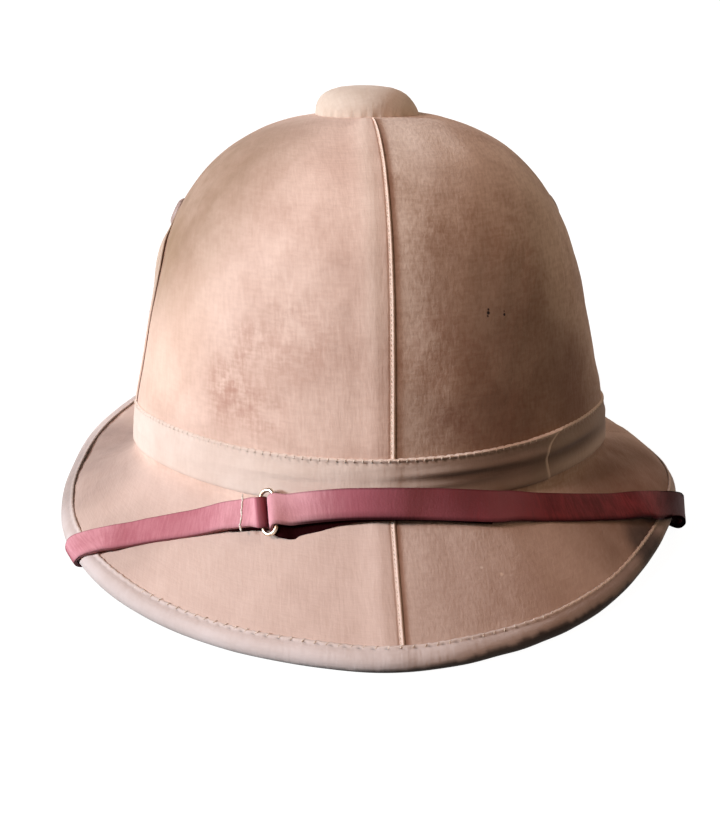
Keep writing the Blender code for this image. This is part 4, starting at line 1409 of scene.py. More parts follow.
@dataclass
class HatBand:
    """Cotton strip round the foot of the crown, whip-stitched along its upper edge."""

    cloth: WovenCotton
    wall: float = 0.8
    join: float = 30.5
    overlap: float = 8.0
    pitch: float = 3.3
    # radii at which the lap, the stitches and the flat cloth are measured
    lap_radius: float = 108.0
    sewn_radius: float = 103.0
    cloth_radius: float = 105.0
    lap_lift: float = 0.4
    seam_bump: tuple[float, ...] = (-9, -2, 2, 8)
    # distance down the band, height over the cloth: rolled edges and the stitch groove
    section: Rows = (
        (0, 0.1), (0.3, 0.42), (0.7, 0.66), (1.1, 0.66), (1.55, 0.52), (2.1, 0.6),
        (3, 0.68), (8, 0.85), (14.6, 0.75), (15.8, 0.75), (16.8, 0.62), (17.3, 0.42),
        (17.7, 0.1))
    # distance down the band, degrees by which the lapped end slants
    end_slant: Rows = ((0, 5.5), (3, 2), (7, -0.4), (17.7, 0))
    # azimuth, extra height of the upper edge, which is corded to the right of the front
    cording: Rows = (
        (-180, 0.25), (-60, 0.12), (-30, 0.1), (-12, 0.25), (0, 0.55), (12, 0.72),
        (24, 0.6), (34, 0.3), (46, 0.15), (80, 0.15), (180, 0.25))
    # middle azimuth, spread, distance down the band, height of each lengthwise fold
    folds: Rows = (
        (14, 13, 6.4, 0.7), (12, 14, 8.6, -0.5), (10, 12, 11, 0.55),
        (-20, 14, 8, 0.25), (45, 12, 7, 0.6), (47, 12, 9.8, -0.4),
        (75, 20, 6, 0.4), (-65, 18, 10, 0.2), (150, 25, 7, 0.4),
        (-140, 25, 9, 0.4))

    def seam_lift(self, azimuth: Array, station: float) -> Array:
        """Height that carries a strip over the seams' laps.

        Args:
            azimuth: angles round the helmet.
            station: the strip's station.

        Returns:
            The heights.
        """
        radius = FORM.level_radius(azimuth, station)
        lift = np.zeros_like(radius)
        for k, seam in enumerate(FORM.seams):
            if k % 2 and station > 2:
                continue
            away = np.radians(wrapped(azimuth - seam)) * radius
            side = -away if k in (1, 2) else away
            low, up, over, end = self.seam_bump
            lift = np.maximum(lift, self.lap_lift * ease(low, up, side) * ease(end, over, side))
        return lift

    def columns(self) -> tuple[Array, Array]:
        """Divide the strip into columns, four to a stitch.

        Returns:
            Their azimuths, and how far the lapped end rises over the strip's start.
        """
        lap = math.degrees(self.overlap / self.lap_radius)
        last = self.join + 360 + lap
        length = math.radians(last - self.join) * self.sewn_radius
        base = np.linspace(self.join, last, round(length * 4 / self.pitch))
        return base, ease(last - lap - 8, last - lap - 0.5, base) * 0.7

    def build(self) -> None:
        """Lay the strip with its rolled edges, folds, puckers and lapped end."""
        base, rise = self.columns()
        first, last = base[0], base[-1]
        v = np.unique(np.concatenate([np.array(self.section)[:, 0], np.arange(3.4, 14.5, 0.75)]))
        bend = read_rows(self.end_slant, v)
        pull = ease(last - 6, last, base)
        azimuth = base[None, :] + pull[None, :] * bend[:, None]
        stitch = (np.arange(len(base)) % 4 == 0).astype(float)[None, :]
        way = v[:, None] + 0.22 * stitch * hump(v, 0, 0.5)[:, None]
        station = 1 + way / FORM.band_width
        lift = self.seam_lift(base, 1.4)[None, :] * np.ones_like(station)
        rows = np.array(self.section)
        height = np.interp(v, rows[:, 0], rows[:, 1])[:, None] + lift + rise[None, :]
        cord = self.corded(base)[None, :] * hump(v, 0.75, 0.62)[:, None]
        height = height + cord - (0.2 + 0.3 * cord) * stitch * hump(v, 1.75, 0.5)[:, None]
        height = height + self.fold_height(azimuth, way)
        places = FORM.lifted(azimuth, station, height)
        flat = np.stack([np.radians(azimuth - first) * self.cloth_radius, -way], axis=-1)
        band = laid_sheet("band_cloth", places, FORM.normal(azimuth, station), flat)
        end = ease(last - 1, last - 0.4, base)[None, :] * np.ones_like(v)[:, None]
        # painted highlight, with rubbing, on the lapped end and the corded upper edge
        marked(band, "wear_and_highlight", np.clip(0.6 * end + 0.75 * cord, 0, 1))
        marked(band, "soil_and_shade", self.soil_and_shade(azimuth, way, stitch))
        walled(band, self.wall, 0.18)
        handed_over(band, self.cloth.material(), "cotton_band", "crown_band")

    def corded(self, azimuth: Array) -> Array:
        """Extra height of the upper edge at an azimuth."""
        return read_rows(self.cording, wrapped(azimuth))

    def soil_and_shade(self, azimuth: Array, way: Array, stitch: Array) -> Array:
        """Dark needle holes, painted shade in the hollows between the lengthwise folds, and
        painted shade over the band's right side.

        Args:
            azimuth: angles round the helmet.
            way: distance down the band.
            stitch: 1 in the columns of a stitch.

        Returns:
            Strength of the dark holes and the painted shade at each point.
        """
        around = wrapped(azimuth)
        holes = 0.15 + 0.4 * ease(-32, -12, around) * ease(16, -4, around)
        holes = holes * stitch * hump(way, 1.85, 0.42)
        # painted shade in the hollows between the folds
        hollow = 0.45 * hump(around, 16, 13) * hump(way, 8.6, 1.8)
        hollow = hollow + 0.3 * hump(around, 45, 14) * hump(way, 9.5, 2.2)
        shaded = 0.6 * ease(-8, 18, around) * ease(120, 80, around) * ease(0.5, 2, way)
        shaded = shaded * (1 - 0.45 * ease(11, 15, way))
        return np.clip(holes + hollow + shaded, 0, 0.85)

    def fold_height(self, azimuth: Array, way: Array) -> Array:
        """Lengthwise folds and the slack of the strip, which fade at its two edges.

        Args:
            azimuth: angles round the helmet.
            way: distance down the band.

        Returns:
            The heights.
        """
        total = np.zeros_like(azimuth)
        for middle, spread, down, tall in self.folds:
            total = total + tall * hump(wrapped(azimuth - middle), 0, spread) * hump(
                way, down, 1.5)
        a = np.radians(azimuth)
        places = np.stack([np.sin(a) * self.cloth_radius, np.cos(a) * self.cloth_radius,
                           way * 5], axis=-1)
        total = total + 0.16 * ripple(places, 34, 91)
        return total * ease(1.8, 4, way) * ease(13.5, 9.5, way)

    def stitch_line(self) -> tuple[Array, Array]:
        """Line of the whip stitches, along the groove under the rolled edge.

        Returns:
            Points and the way out of the cloth at each.
        """
        base, rise = (row[::4] for row in self.columns())
        station = np.full_like(base, 1 + 0.95 / FORM.band_width)
        height = 0.62 + self.seam_lift(base, 1.4) + rise + 0.9 * self.corded(base)
        return FORM.lifted(base, station, height), FORM.normal(base, station)


# ---- edge binding ----


@dataclass
class EdgeBinding:
    """Cotton folded round the brim edge, its upper fold whip-stitched to the cover."""

    cloth: WovenCotton
    band: HatBand
    wall: float = 0.85
    stand: float = 1.35
    flap: float = 4.6
    girth_radius: float = 146.0
    under_ease: float = 0.25
    pitch: float = 4.4
    # distance in from the fold's edge, height over the cloth
    section: Rows = (
        (0, 0.1), (0.3, 0.4), (0.7, 0.62), (1.15, 0.62), (1.6, 0.55), (2.1, 0.7),
        (2.8, 1), (3.7, 1.3))
    # azimuth, how far the fold's edge stands open: it gapes on the left behind the strap
    gape: Rows = (
        (-180, 0.2), (-120, 0.5), (-100, 0.75), (-80, 0.75), (-68, 0.4),
        (-55, 0), (0, 0.08), (50, 0.15), (90, 0.3), (180, 0.2))
    # azimuth, distance from the upper fold at which the dirt and painted shade begin, its strength
    tread_and_shade: Rows = (
        (-180, 11, 0.3), (-120, 11, 0.3), (-70, 9.5, 0.22), (-30, 9.5, 0.2),
        (-16, 9.6, 0.3), (-6, 8.8, 0.7), (5, 7.6, 0.85), (11, 6.3, 0.85),
        (17, 5.1, 0.88), (26, 5, 0.85), (36, 6, 0.75), (46, 7.2, 0.65),
        (70, 9.5, 0.4), (180, 11, 0.3))
    turn_step: int = 12
    hidden_rows: tuple[float, ...] = (1.2, 2.4, 3.6, 4.6)
    measured_row: int = 10                # the one whose length is the cut length

    def azimuths(self) -> Array:
        """Columns round the edge, four to a stitch."""
        stitches = round(2 * math.pi * self.girth_radius / self.pitch)
        return np.linspace(0, 360, 4 * stitches + 1)

    def rows(self, azimuth: Array, opened: Array,
             stitch: Array) -> tuple[Array, Array, Array]:
        """Find rows from the upper fold round the edge to the hidden fold.

        Args:
            azimuth: columns round the edge.
            opened: how far the upper fold stands open at each column.
            stitch: 1 in the columns of a stitch.

        Returns:
            Points, the way out at each, and each row's distance from the upper fold.
        """
        lift = self.band.seam_lift(azimuth, 3)
        centre, along, normal = FORM.edge_frame(azimuth)
        soft = 0.12 * ripple(centre, 16, 43)
        inset = self.flap + (0.3 * ripple(centre, 60, 41) + 0.22 * stitch)
        radius = FORM.pack_depth / 2 + self.stand
        depth = FORM.pack_depth + self.stand + self.under_ease
        places, facing, way = [], [], []
        for back, height in self.section:
            station = FORM.station_along(azimuth, back - inset, 3)
            height = height + opened * ease(3.6, 0.3, back)
            dip = 0.22 * stitch * hump(back, 1.45, 0.5)
            places.append(FORM.lifted(azimuth, station, lift + height - dip + soft * 0.5))
            facing.append(FORM.normal(azimuth, station))
            way.append(back)
        for turn in range(0, 181, self.turn_step):
            t = math.radians(turn)
            reach = radius * math.sin(t) + soft * math.sin(t)
            tall = radius * math.cos(t) + lift * max(math.cos(t), 0)
            tall = tall + self.under_ease * min(math.cos(t), 0)
            places.append(centre + along * reach[:, None] + normal * tall[:, None])
            facing.append(along * math.sin(t) + normal * math.cos(t))
            way.append(self.flap + radius * t)
        for back in self.hidden_rows:
            station = FORM.station_along(azimuth, np.full_like(azimuth, -back), 3)
            places.append(FORM.lifted(azimuth, station, np.full_like(azimuth, -depth)))
            facing.append(-FORM.normal(azimuth, station))
            way.append(self.flap + radius * math.pi + back)
        places = np.stack(places)
        places[..., 2] = np.maximum(places[..., 2], 0)
        return places, np.stack(facing), np.array(way)

    def build(self) -> None:
        """Lay the binding, mark its worn fold, dirt, painted highlight and painted shade, and give
        it its wall.
        """
        azimuth = self.azimuths()
        around = wrapped(azimuth)
        stitch = (np.arange(len(azimuth)) % 4 == 0).astype(float)
        opened = read_rows(self.gape, around)
        places, facing, way = self.rows(azimuth, opened, stitch)
        run = run_along(places[self.measured_row])
        flat = np.stack(np.broadcast_arrays(run[None, :], -way[:, None]), axis=-1)
        binding = laid_sheet("edge_binding_cloth", places, facing, flat)
        # painted highlight, with rubbing, along the binding's upper fold, brightest on the right
        # front
        marked(binding, "wear_and_highlight", hump(way, 0.6, 0.5)[:, None] * (
            0.25 + 0.6 * ease(14, 26, around) * ease(60, 48, around)))
        sewn = stitch * (0.04 + 0.48 * ease(-46, -15, around) * ease(28, 12, around))
        centre = FORM.edge_frame(azimuth)[0]
        # painted shadow in the gap under the opened fold, dark needle holes, and the edge's dirt
        # and painted shade
        marked(binding, "soil_and_shade", np.clip(np.array([
            0.9 * opened * hump(row, 0, 0.35) + sewn * hump(row, 1.5, 0.4)
            + self.trodden_and_shaded(around, row, centre) for row in way]), 0, 0.94))
        in_edit_mode(binding, bpy.ops.mesh.remove_doubles, threshold=0.01 * MM)
        walled(binding, self.wall, 0.2)
        handed_over(binding, self.cloth.material(), "cotton_binding", "brim_binding")

    def trodden_and_shaded(self, around: Array, way: float, centre: Array) -> Array:
        """Dirt and painted shade on the lower part of the rounded edge: black and ragged on the
        right front, where it is set down, fainter elsewhere, and grey painted shade over the right
        and left sides.

        Args:
            around: azimuths of -180 to 180.
            way: distance in millimetres from the upper fold.
            centre: middle of the edge at each azimuth.

        Returns:
            Strength of the dirt and painted shade at each azimuth.
        """
        start = read_rows(self.tread_and_shade, around)
        ragged = way + 0.6 * ripple(centre, 8, 47) + 0.35 * ripple(centre, 3.5, 48)
        black = read_rows(self.tread_and_shade, around, 2) * ease(start, start + 2.2, ragged)
        # painted shade in grey over the right side and the left side
        grey = 0.3 * ease(12, 40, around) * ease(120, 80, around)
        grey = grey + 0.1 * ease(-20, -45, around) * ease(-120, -100, around)
        return black + grey

    def stitch_line(self) -> tuple[Array, Array]:
        """Line of the whip stitches along the fold's edge, sunk in at the left front.

        Returns:
            Points and the way out of the cloth at each.
        """
        azimuth = self.azimuths()[::4]
        around = wrapped(azimuth)
        station = FORM.station_along(azimuth, np.full_like(azimuth, 0.75 - self.flap), 3)
        sunk = 0.3 * ease(-34, -42, around) * ease(-110, -80, around)
        height = 0.6 + self.band.seam_lift(azimuth, 3) - sunk
        return FORM.lifted(azimuth, station, height), FORM.normal(azimuth, station)


# ---- top button and side eyelets ----


@dataclass
class TopButton:
    """Cloth-covered round button over the meeting of the panels, gathered at its foot."""

    cloth: WovenCotton
    outline: Rows = (
        (20.6, -1.7), (21.6, -1.5), (21.8, -1), (21.75, 0), (21.6, 1.2), (21.35, 2.5),
        (20.8, 4.2), (19.7, 6), (17.9, 7.6), (15.2, 9), (11.5, 10.1), (6.5, 10.7),
        (1.5, 10.9))
    gathers: int = 30
    drape: float = 11.0
    tilt: float = 1.6
    worn_side: float = 0.085

    def build(self) -> None:
        """Turn the button, gather its foot and lean it with the crown."""
        button = turned("button_cloth", self.outline, 4 * self.gathers)
        mesh = button.data
        points = np.array([v.co for v in mesh.vertices]) / MM
        angle = np.arctan2(points[:, 1], points[:, 0])
        foot = ease(3, -0.6, points[:, 2]) * ease(18, 21, np.hypot(points[:, 0], points[:, 1]))
        pleat = 1 - 0.011 * foot * (1 + np.cos(angle * self.gathers + ripple(
            points[:, :2], 30, 61)))
        points[:, :2] *= pleat[:, None]
        worn = np.where(points[:, 0] > 0, self.worn_side * ease(-0.5, 7, points[:, 2]), 0)
        points[:, 0] *= 1 - worn
        mesh.vertices.foreach_set("co", (points * MM).ravel())
        grow = 1 + np.clip(self.drape - points[:, 2], 0, self.drape) / (2 * self.drape)
        mapped(button, points[:, :2] * grow[:, None])
        lean = math.radians(FORM.crown_lean)
        top = FORM.leaned(0, 0, FORM.crown_top)
        level = np.array([math.cos(math.radians(self.tilt)), 0,
                          -math.sin(math.radians(self.tilt))])
        up = unit(np.cross(level, [0, math.cos(lean), -math.sin(lean)]))
        seated(button, top, level, up)
        handed_over(button, self.cloth.material(), "cotton_button", "top_button")


@dataclass
class SideEyelets:
    """Small raised vent rings on the sides of the crown."""

    azimuth: float = 97.0
    height: float = 82.0
    outline: Rows = (
        (2.4, -0.15), (6.45, -0.15), (6.5, 0.1), (6.2, 0.55), (5.6, 1.05), (4.9, 1.5),
        (4.2, 1.7), (3.5, 1.65), (2.9, 1.35), (2.5, 0.9), (2.4, 0.3))
    steps: int = 40
    finish: ChippedPaint = field(default_factory=ChippedPaint)

    def build(self) -> None:
        """Turn each ring and seat it on the cloth."""
        material = self.finish.material()
        for name, side in (("vent_left", -1), ("vent_right", 1)):
            azimuth = np.array(side * self.azimuth)
            station = FORM.run_at_height(self.height) / FORM.run_at_height(
                FORM.band_top(azimuth))
            facing = FORM.normal(azimuth, station)
            level = unit(np.cross([0, 0, 1], facing))
            ring = self.ring(name + "_ring")
            seated(ring, FORM.point(azimuth, station), level, facing)
            handed_over(ring, material, "painted_eyelet", name)

    def ring(self, name: str) -> Piece:
        """Draw one ring about the origin to the eyelet's section.

        Args:
            name: name of the new object.

        Returns:
            The new object.
        """
        radius, height = np.array(self.outline).T
        angle = np.arange(self.steps) * 2 * math.pi / self.steps
        points = np.stack([
            np.outer(np.cos(angle), radius), np.outer(np.sin(angle), radius),
            np.outer(np.ones(self.steps), height)], axis=-1)
        ring = drawn_torus(name, points * MM)
        finished_with(ring, "SUBSURF", levels=1, render_levels=1)
        bpy.ops.object.shade_smooth()
        return ring


# ---- chin strap ----


@dataclass
class StrapPath:
    """Edges and facing of a strap at every place along it, in millimetres of the form."""

    plus: Array
    minus: Array
    plus_face: Array
    minus_face: Array

    @staticmethod
    def joined(parts: Sequence["StrapPath"]) -> "StrapPath":
        """Put stretches end to end."""
        return StrapPath(*[np.concatenate([getattr(p, name) for p in parts])
                           for name in ("plus", "minus", "plus_face", "minus_face")])

    def evened(self, step: float) -> tuple["StrapPath", Array]:
        """Run smooth curves through the places.

        Args:
            step: wanted distance between places in millimetres.

        Returns:
            The path read at even steps, and how far along each one is.
        """
        run, even = along_line((self.plus + self.minus) / 2, step)
        smooth = [np.stack([smooth_curve(run, row[:, k], even) for k in range(3)], axis=1)
                  for row in (self.plus, self.minus, self.plus_face, self.minus_face)]
        return StrapPath(smooth[0], smooth[1], unit(smooth[2]), unit(smooth[3])), even


@dataclass
class ChinStrap:
    """Leather strap worn over the front brim, in two pieces that meet at a wire ring."""

    width: float = 12.0
    wall: float = 1.4
    gap: float = 0.35
    step: float = 1.1
    ring_bars: float = 5.4
    ring_tall: float = 17.0
    ring_wire: float = 1.6
    ring_ease: float = 0.85
    ring_azimuth: float = -21.3
    ring_corner: float = 2.4
    ring_sides: int = 14
    cloth_wall: float = 1.35
    lap_lift: float = 1.35
    ring_turn: float = 8.0
    rear_fall: float = 4.2                # how far the long strap's rear layer lies down
    leather: StrapLeather = field(default_factory=StrapLeather)
    # places across: where the seat is felt for in half widths, and where the sheet has columns
    felt_at: tuple[float, ...] = (-1, -0.67, -0.33, 0, 0.33, 0.67, 1)
    shares: tuple[float, ...] = (0, 0.02, 0.06, 0.14, 0.3, 0.5, 0.7, 0.86, 0.94, 0.98, 1)
    # place across the helmet, strength of the dust and of the painted light, high on the left
    # where the light falls
    dusting_and_light: Rows = (
        (-130, 0.82), (-112, 0.74), (-101, 0.6), (-89, 0.6), (-76, 0.6),
        (-68, 0.68), (-58, 0.88), (-49, 0.88),
        (-33, 1), (-22, 0.66), (-11, 0.4), (0, 0.35), (10, 0.34), (21, 0.27),
        (32, 0.22), (43, 0.3), (53, 0.18), (64, 0.05), (130, 0))
    # azimuth, way down from the band's foot, standing off
    rows: Rows = (
        (-55, 47.8, 0.15), (-50, 37.2, 0.15), (-45, 27.6, 0.15), (-40, 20.7, 0.15),
        (-35, 14.9, 0.15), (-30, 10.3, 0.15), (-25, 7, 0.2), (-20, 3.8, 0.4),
        (-15, 0.2, 0.5), (-8, -2.6, 0.5), (2, -2.8, 0.6), (11, -0.5, 0.5),
        (18, 3.2, 0.4), (27, 7.5, 0.25), (36, 13.2, 0.3), (44, 19.6, 0.7),
        (53, 28.9, 1.8), (61, 38.5, 3.2))
    # azimuth, layers beneath, extra height, shift down across the strap
    short_rear: Rows = (
        (-29.6, 0, 0, 0), (-27.6, 0, 0, 0), (-25.6, 0, 0.1, 0))
    short_front: Rows = (
        (-25.4, 1, 0.9, 0), (-27.6, 1, 0.3, 0), (-31, 1, 0, 0),
        (-33.8, 0, 0.7, 0), (-37, 0, 0, 0), (-41, 0, 0, 0),
        (-44.5, 0, 0, 0), (-47.2, 0, 0.35, 0), (-49.2, 0, 1, 0))
    long_rear: Rows = (
        (18.5, 0, 0, 0.3), (14, 0, 0, 0.5), (10, 0, 0, 0.6), (6, 0, 0, 0.7),
        (2, 0, 0, 0.8), (-2, 0, 0, 1), (-6, 0, 0, 1.4), (-10, 0, 0, 2.3),
        (-13.5, 0, 0, 3.8), (-16.2, 0, 0, 5.2), (-18.2, 0, 0.1, 5.2))
    long_front: Rows = (
        (-17.9, 1, 0.9, 0), (-16.6, 1, 0.3, 0), (-14, 1, 0, 0), (-10, 1, 0, 0),
        (-6, 1, 0, 0), (-2, 1, 0, 0), (2, 1, 0, 0), (6, 1, 0, 0),
        (10, 1, 0, 0), (14, 1, 0, 0), (19, 1, 0, 0), (23.5, 0, 1, 0),
        (29, 0, 0, 0), (35, 0, 0, 0), (41, 0, 0, 0), (47, 0, 0.2, 0),
        (52, 0, 0.8, 0))
    # azimuth, way in from the edge, height over the cloth, half spread in degrees
    left_landing: tuple[float, ...] = (-52.5, 6, 2.4, 3)
    right_landing: tuple[float, ...] = (57.8, 5, 4.2, 4.9)
    # turn from the top of the edge, azimuth, half spread, rear and front radius
    left_wrap: Rows = (
        (8, -54.9, 2.7, 5.4, 5.4), (32, -55.3, 2.4, 5.4, 5.4), (55, -55.8, 2.1, 5.4, 5.4),
        (78, -56.2, 2, 5.4, 5.4), (101, -56.5, 2, 5.4, 5.4),
        (124, -56.7, 2.1, 5.4, 5.4), (148, -56.9, 2.2, 5.4, 5.4),
        (172, -57, 2.3, 5.4, 5.4))
    right_wrap: Rows = (
        (8, 63.5, 4.5, 6.8, 7.6), (30, 65.2, 4.4, 7, 9), (52, 66.6, 4.3, 7.2, 10.2),
        (76, 67.6, 4.2, 7, 10.5), (100, 68.2, 4, 6.6, 8.8), (124, 68.6, 3.7, 6.2, 7.2),
        (148, 68.9, 3.4, 6, 6.5), (172, 69.2, 3.2, 5.9, 6))
    # azimuth and station of the hidden stretch inside brim and crown
    left_under: Rows = (
        (-58, 2.86), (-61.5, 2.6), (-67, 2.3), (-72.5, 2.08), (-76.5, 1.85),
        (-79.5, 1.55), (-81, 1.15), (-81.5, 0.97))
    right_under: Rows = (
        (70, 2.86), (71.8, 2.6), (74.2, 2.3), (77, 2.08), (79, 1.85),
        (81, 1.55), (82, 1.15), (82.5, 0.97))
    # station, how far the hidden stretch hangs off the pith
    under_slack: Rows = ((2, 0.45), (2.4, 0.35), (2.55, 0.3), (2.8, 1.8))

    def seat(self, azimuth: Array) -> tuple[Array, Array]:
        """Where the strap rests on cloth and band.

        Args:
            azimuth: angles round the helmet.

        Returns:
            The middle of its inner side and the way it faces.
        """
        azimuth = np.atleast_1d(np.asarray(azimuth, float))
        down, off = read_rows(self.rows, azimuth), read_rows(self.rows, azimuth, 2)
        bump = np.interp(np.abs(azimuth + 0.9), (2.9, 7.5), (self.lap_lift, 0))
        touch = []
        for part in self.felt_at:
            way = down + part * self.width / 2
            lift = np.interp(way, (-1.3, -0.6), (self.cloth_wall, 0)) + bump
            touch.append(FORM.lifted(azimuth, FORM.station_along(azimuth, way, 2), lift))
        touch = np.stack(touch)
        chord = unit(touch[-1] - touch[0])
        a = np.radians(azimuth)
        face = unit(np.cross(chord, np.stack([np.cos(a), np.sin(a), np.zeros_like(a)], axis=-1)))
        middle = (touch[0] + touch[-1]) / 2
        proud = ((touch - middle) * face).sum(axis=-1).max(axis=0)
        return middle + face * (proud + off)[:, None], face

    def over_front(self, rows: Rows, heading: float, flip: float = 1) -> StrapPath:
        """Stretch that lies over the front.

        Args:
            rows: azimuth, layers beneath, extra height and shift down.
            heading: 1 for a strap that leads to the right edge, -1 for the left edge.
            flip: -1 for the layer that is turned back beneath.

        Returns:
            The stretch.
        """
        azimuth, layer, extra, shift = np.array(rows, float).T
        height = self.gap + self.wall / 2 + layer * (self.wall + self.gap) + extra
        seat, face = self.seat(azimuth)
        path = self.seat(azimuth + 0.6)[0] - self.seat(azimuth - 0.6)[0]
        across = unit(np.cross(face, path) * heading)
        centre = seat + face * height[:, None] - across * heading * shift[:, None]
        side = across * self.width / 2
        return StrapPath(centre + side, centre - side, face * flip, face * flip)

    def on_brim(self, landing: tuple[float, ...]) -> StrapPath:
        """Place along the brim edge, a way in from it.

        Args:
            landing: azimuth, way in, height over the cloth and half spread.

        Returns:
            The stretch.
        """
        azimuth, inset, offset, spread = landing
        ends, ways = [], []
        for sign in (1, -1):
            a = np.array([azimuth + sign * spread])
            station = FORM.station_along(a, np.array([-inset]), 3)
            ends.append(FORM.lifted(a, station, np.array([offset])))
            ways.append(FORM.normal(a, station))
        return StrapPath(*ends, *ways)

    def round_edge(self, rows: Rows) -> StrapPath:
        """Stretch that goes round the bound edge.

        Args:
            rows: turn, azimuth, half spread, rear and front radius.

        Returns:
            The stretch.
        """
        turn, azimuth, spread, rear, front = np.array(rows).T
        ends, ways = [], []
        for sign in (1, -1):
            radius = rear if sign * azimuth[0] > 0 else front
            centre, along, normal = FORM.edge_frame(azimuth + sign * spread)
            t = np.radians(turn)[:, None]
            facing = along * np.sin(t) + normal * np.cos(t)
            ends.append(centre + facing * radius[:, None])
            ways.append(facing)
        return StrapPath(*ends, *ways)

    def under_path(self, rows: Rows) -> tuple[Array, Array]:
        """Read the hidden stretch at close steps.

        Args:
            rows: azimuth and station.

        Returns:
            Azimuths and stations.
        """
        table = np.array(rows)
        knots = np.arange(len(table))
        fine = np.linspace(0, knots[-1], 2 * len(table) - 1)
        return smooth_curve(knots, table[:, 0], fine), smooth_curve(knots, table[:, 1], fine)

    def under_point(self, azimuth: Array, station: Array) -> Array:
        """Middle of the hidden strap's wall inside the brim or crown.

        Args:
            azimuth: angles round the helmet.
            station: stations down it.

        Returns:
            The points.
        """
        depth = FORM.pack_depth + self.gap + self.wall / 2
        slack = np.interp(station, *zip(*self.under_slack))
        return FORM.lifted(azimuth, station, -(depth + slack))

    def inside(self, rows: Rows) -> StrapPath:
        """Hidden stretch up the inside of brim and crown.

        Args:
            rows: azimuth and station.

        Returns:
            The stretch.
        """
        azimuth, station = self.under_path(rows)
        spread = np.degrees(self.width / 2 / FORM.level_radius(azimuth, station))
        ends, ways = [], []
        for sign in (1, -1):
            a = azimuth + sign * spread
            ends.append(self.under_point(a, station))
            ways.append(-FORM.normal(a, station))
        return StrapPath(*ends, *ways)

    def ring_frame(self) -> tuple[Array, Array, Array, Array]:
        """Find where the wire ring lies.

        Returns:
            Its middle, and its along, across and outward directions.
        """
        around = self.ring_azimuth + np.array([-1, 0, 1])
        seat, face = self.seat(around)
        along = unit(seat[2] - seat[0])
        out = unit(face[1] - along * float(face[1] @ along))
        across = np.cross(out, along)
        level = self.gap * 2 + self.wall + self.ring_wire / 2 + self.ring_ease
        turn = math.radians(self.ring_turn)
        return (seat[1] + out * level, along * math.cos(turn) + across * math.sin(turn),
                across * math.cos(turn) - along * math.sin(turn), out)

    def round_bar(self, side: float, shift: float) -> StrapPath:
        """Stretch round one bar of the ring, from behind it to in front of it.

        Args:
            side: 1 for the bar to the right, -1 for the one to the left.
            shift: how far the layer behind lies down across the strap.

        Returns:
            The stretch.
        """
        middle, along, across, face = self.ring_frame()
        bar = middle + along * side * self.ring_bars / 2
        radius = self.ring_wire / 2 + self.gap + self.wall / 2
        turn = np.radians(np.linspace(-90, 90, 13))[:, None]
        facing = face * np.sin(turn) - along * side * np.cos(turn)
        fall = shift * (1 - np.linspace(0, 1, 13))[:, None]
        centre = bar + facing * radius - across * fall
        half = across * side * self.width / 2
        return StrapPath(centre + half, centre - half, facing, facing)

    def build_piece(self, name: str, node: str, *parts: StrapPath) -> None:
        """Lay one piece of the strap along its path.

        Args:
            name: name of the new object.
            node: CAD node that it stands for.
            parts: its stretches in order.
        """
        path, run = StrapPath.joined(parts).evened(self.step)
        share = np.array(self.shares)
        weight = share[:, None, None]
        middle = path.plus * (1 - weight) + path.minus * weight
        facing = unit(path.plus_face * (1 - weight) + path.minus_face * weight)
        crown = 0.16 * (1 - (2 * share - 1) ** 4)[:, None]
        wave = 0.05 * ripple(middle, 9, 81)
        places = middle + facing * (self.wall / 2 - 0.14 + crown + wave)[..., None]
        flat = np.stack(np.broadcast_arrays(share[:, None] * self.width, run[None, :]), axis=-1)
        strap = laid_sheet(name, places, facing, flat)
        marked(strap, "dust_and_light", self.dust_and_light(places, facing, node == "chin_strap_short"))
        marked(strap, "edge_and_shade", self.dark(places, facing))
        walled(strap, self.wall, 0.32, 3)
        handed_over(strap, self.leather.material(), "strap_leather", node)

    def dark(self, places: Array, facing: Array) -> Array:
        """Dark cut edges, and painted shade on the lower edge, on the layers turned back and on
        the right end.

        Args:
            places: points of the strap's outer side, shares across x places along.
            facing: the way that the outer side faces.

        Returns:
            Strength of the dark edges and painted shade at each point.
        """
        reach = np.linalg.norm(places - places[:1], axis=-1)
        low = 2 * reach / reach[-1:] - 1
        low = np.where(places[0, :, 2] < places[-1, :, 2], -low, low)
        along = ease(-46, -30, places[..., 0]) * ease(25, -5, places[..., 0])
        right = ease(-50, -30, places[..., 0])
        # dark cut edge along the top, and painted shade along the lower edge, deeper from the ring
        # rightwards
        edge = 0.5 * ease(0.9, 1, -low) + (0.34 + 0.26 * right + 0.35 * along) * ease(
            0.8 - 0.06 * right - 0.12 * along, 0.97 - 0.01 * right - 0.08 * along, low)
        # painted shade on the strap's right end
        edge = edge + 0.75 * ease(108, 119, places[..., 0])
        # painted shade on the layers turned back beneath
        back = ease(0.1, 0.6, facing[..., 1])
        return np.clip(np.maximum(edge, back), 0, 1)

    def dust_and_light(self, places: Array, facing: Array, folded: bool) -> Array:
        """Dust and painted light, thick about the ring and on the left and thin at the right, but
        taken off the left piece's fold by the ring as painted shade.

        Args:
            places: points of the strap's outer side, shares across x places along.
            facing: the way that the outer side faces.
            folded: whether this is the left piece, whose fold by the ring gets painted shade.

        Returns:
            Strength of the dust and painted light at each point.
        """
        # painted light: the table pales the strap on the left, where the light falls, besides the
        # dust about the ring
        lying = read_rows(self.dusting_and_light, places[..., 0])
        ring, along, _, _ = self.ring_frame()
        near = ((places - ring) * along).sum(axis=-1)
        # painted shade on the side of the fold that faces away from the light
        if folded:
            lying = lying * (1 - 0.8 * ease(-4.4, -3.4, near) * (near < 4))
        return lying * ease(-0.4, 0.2, facing[..., 2])

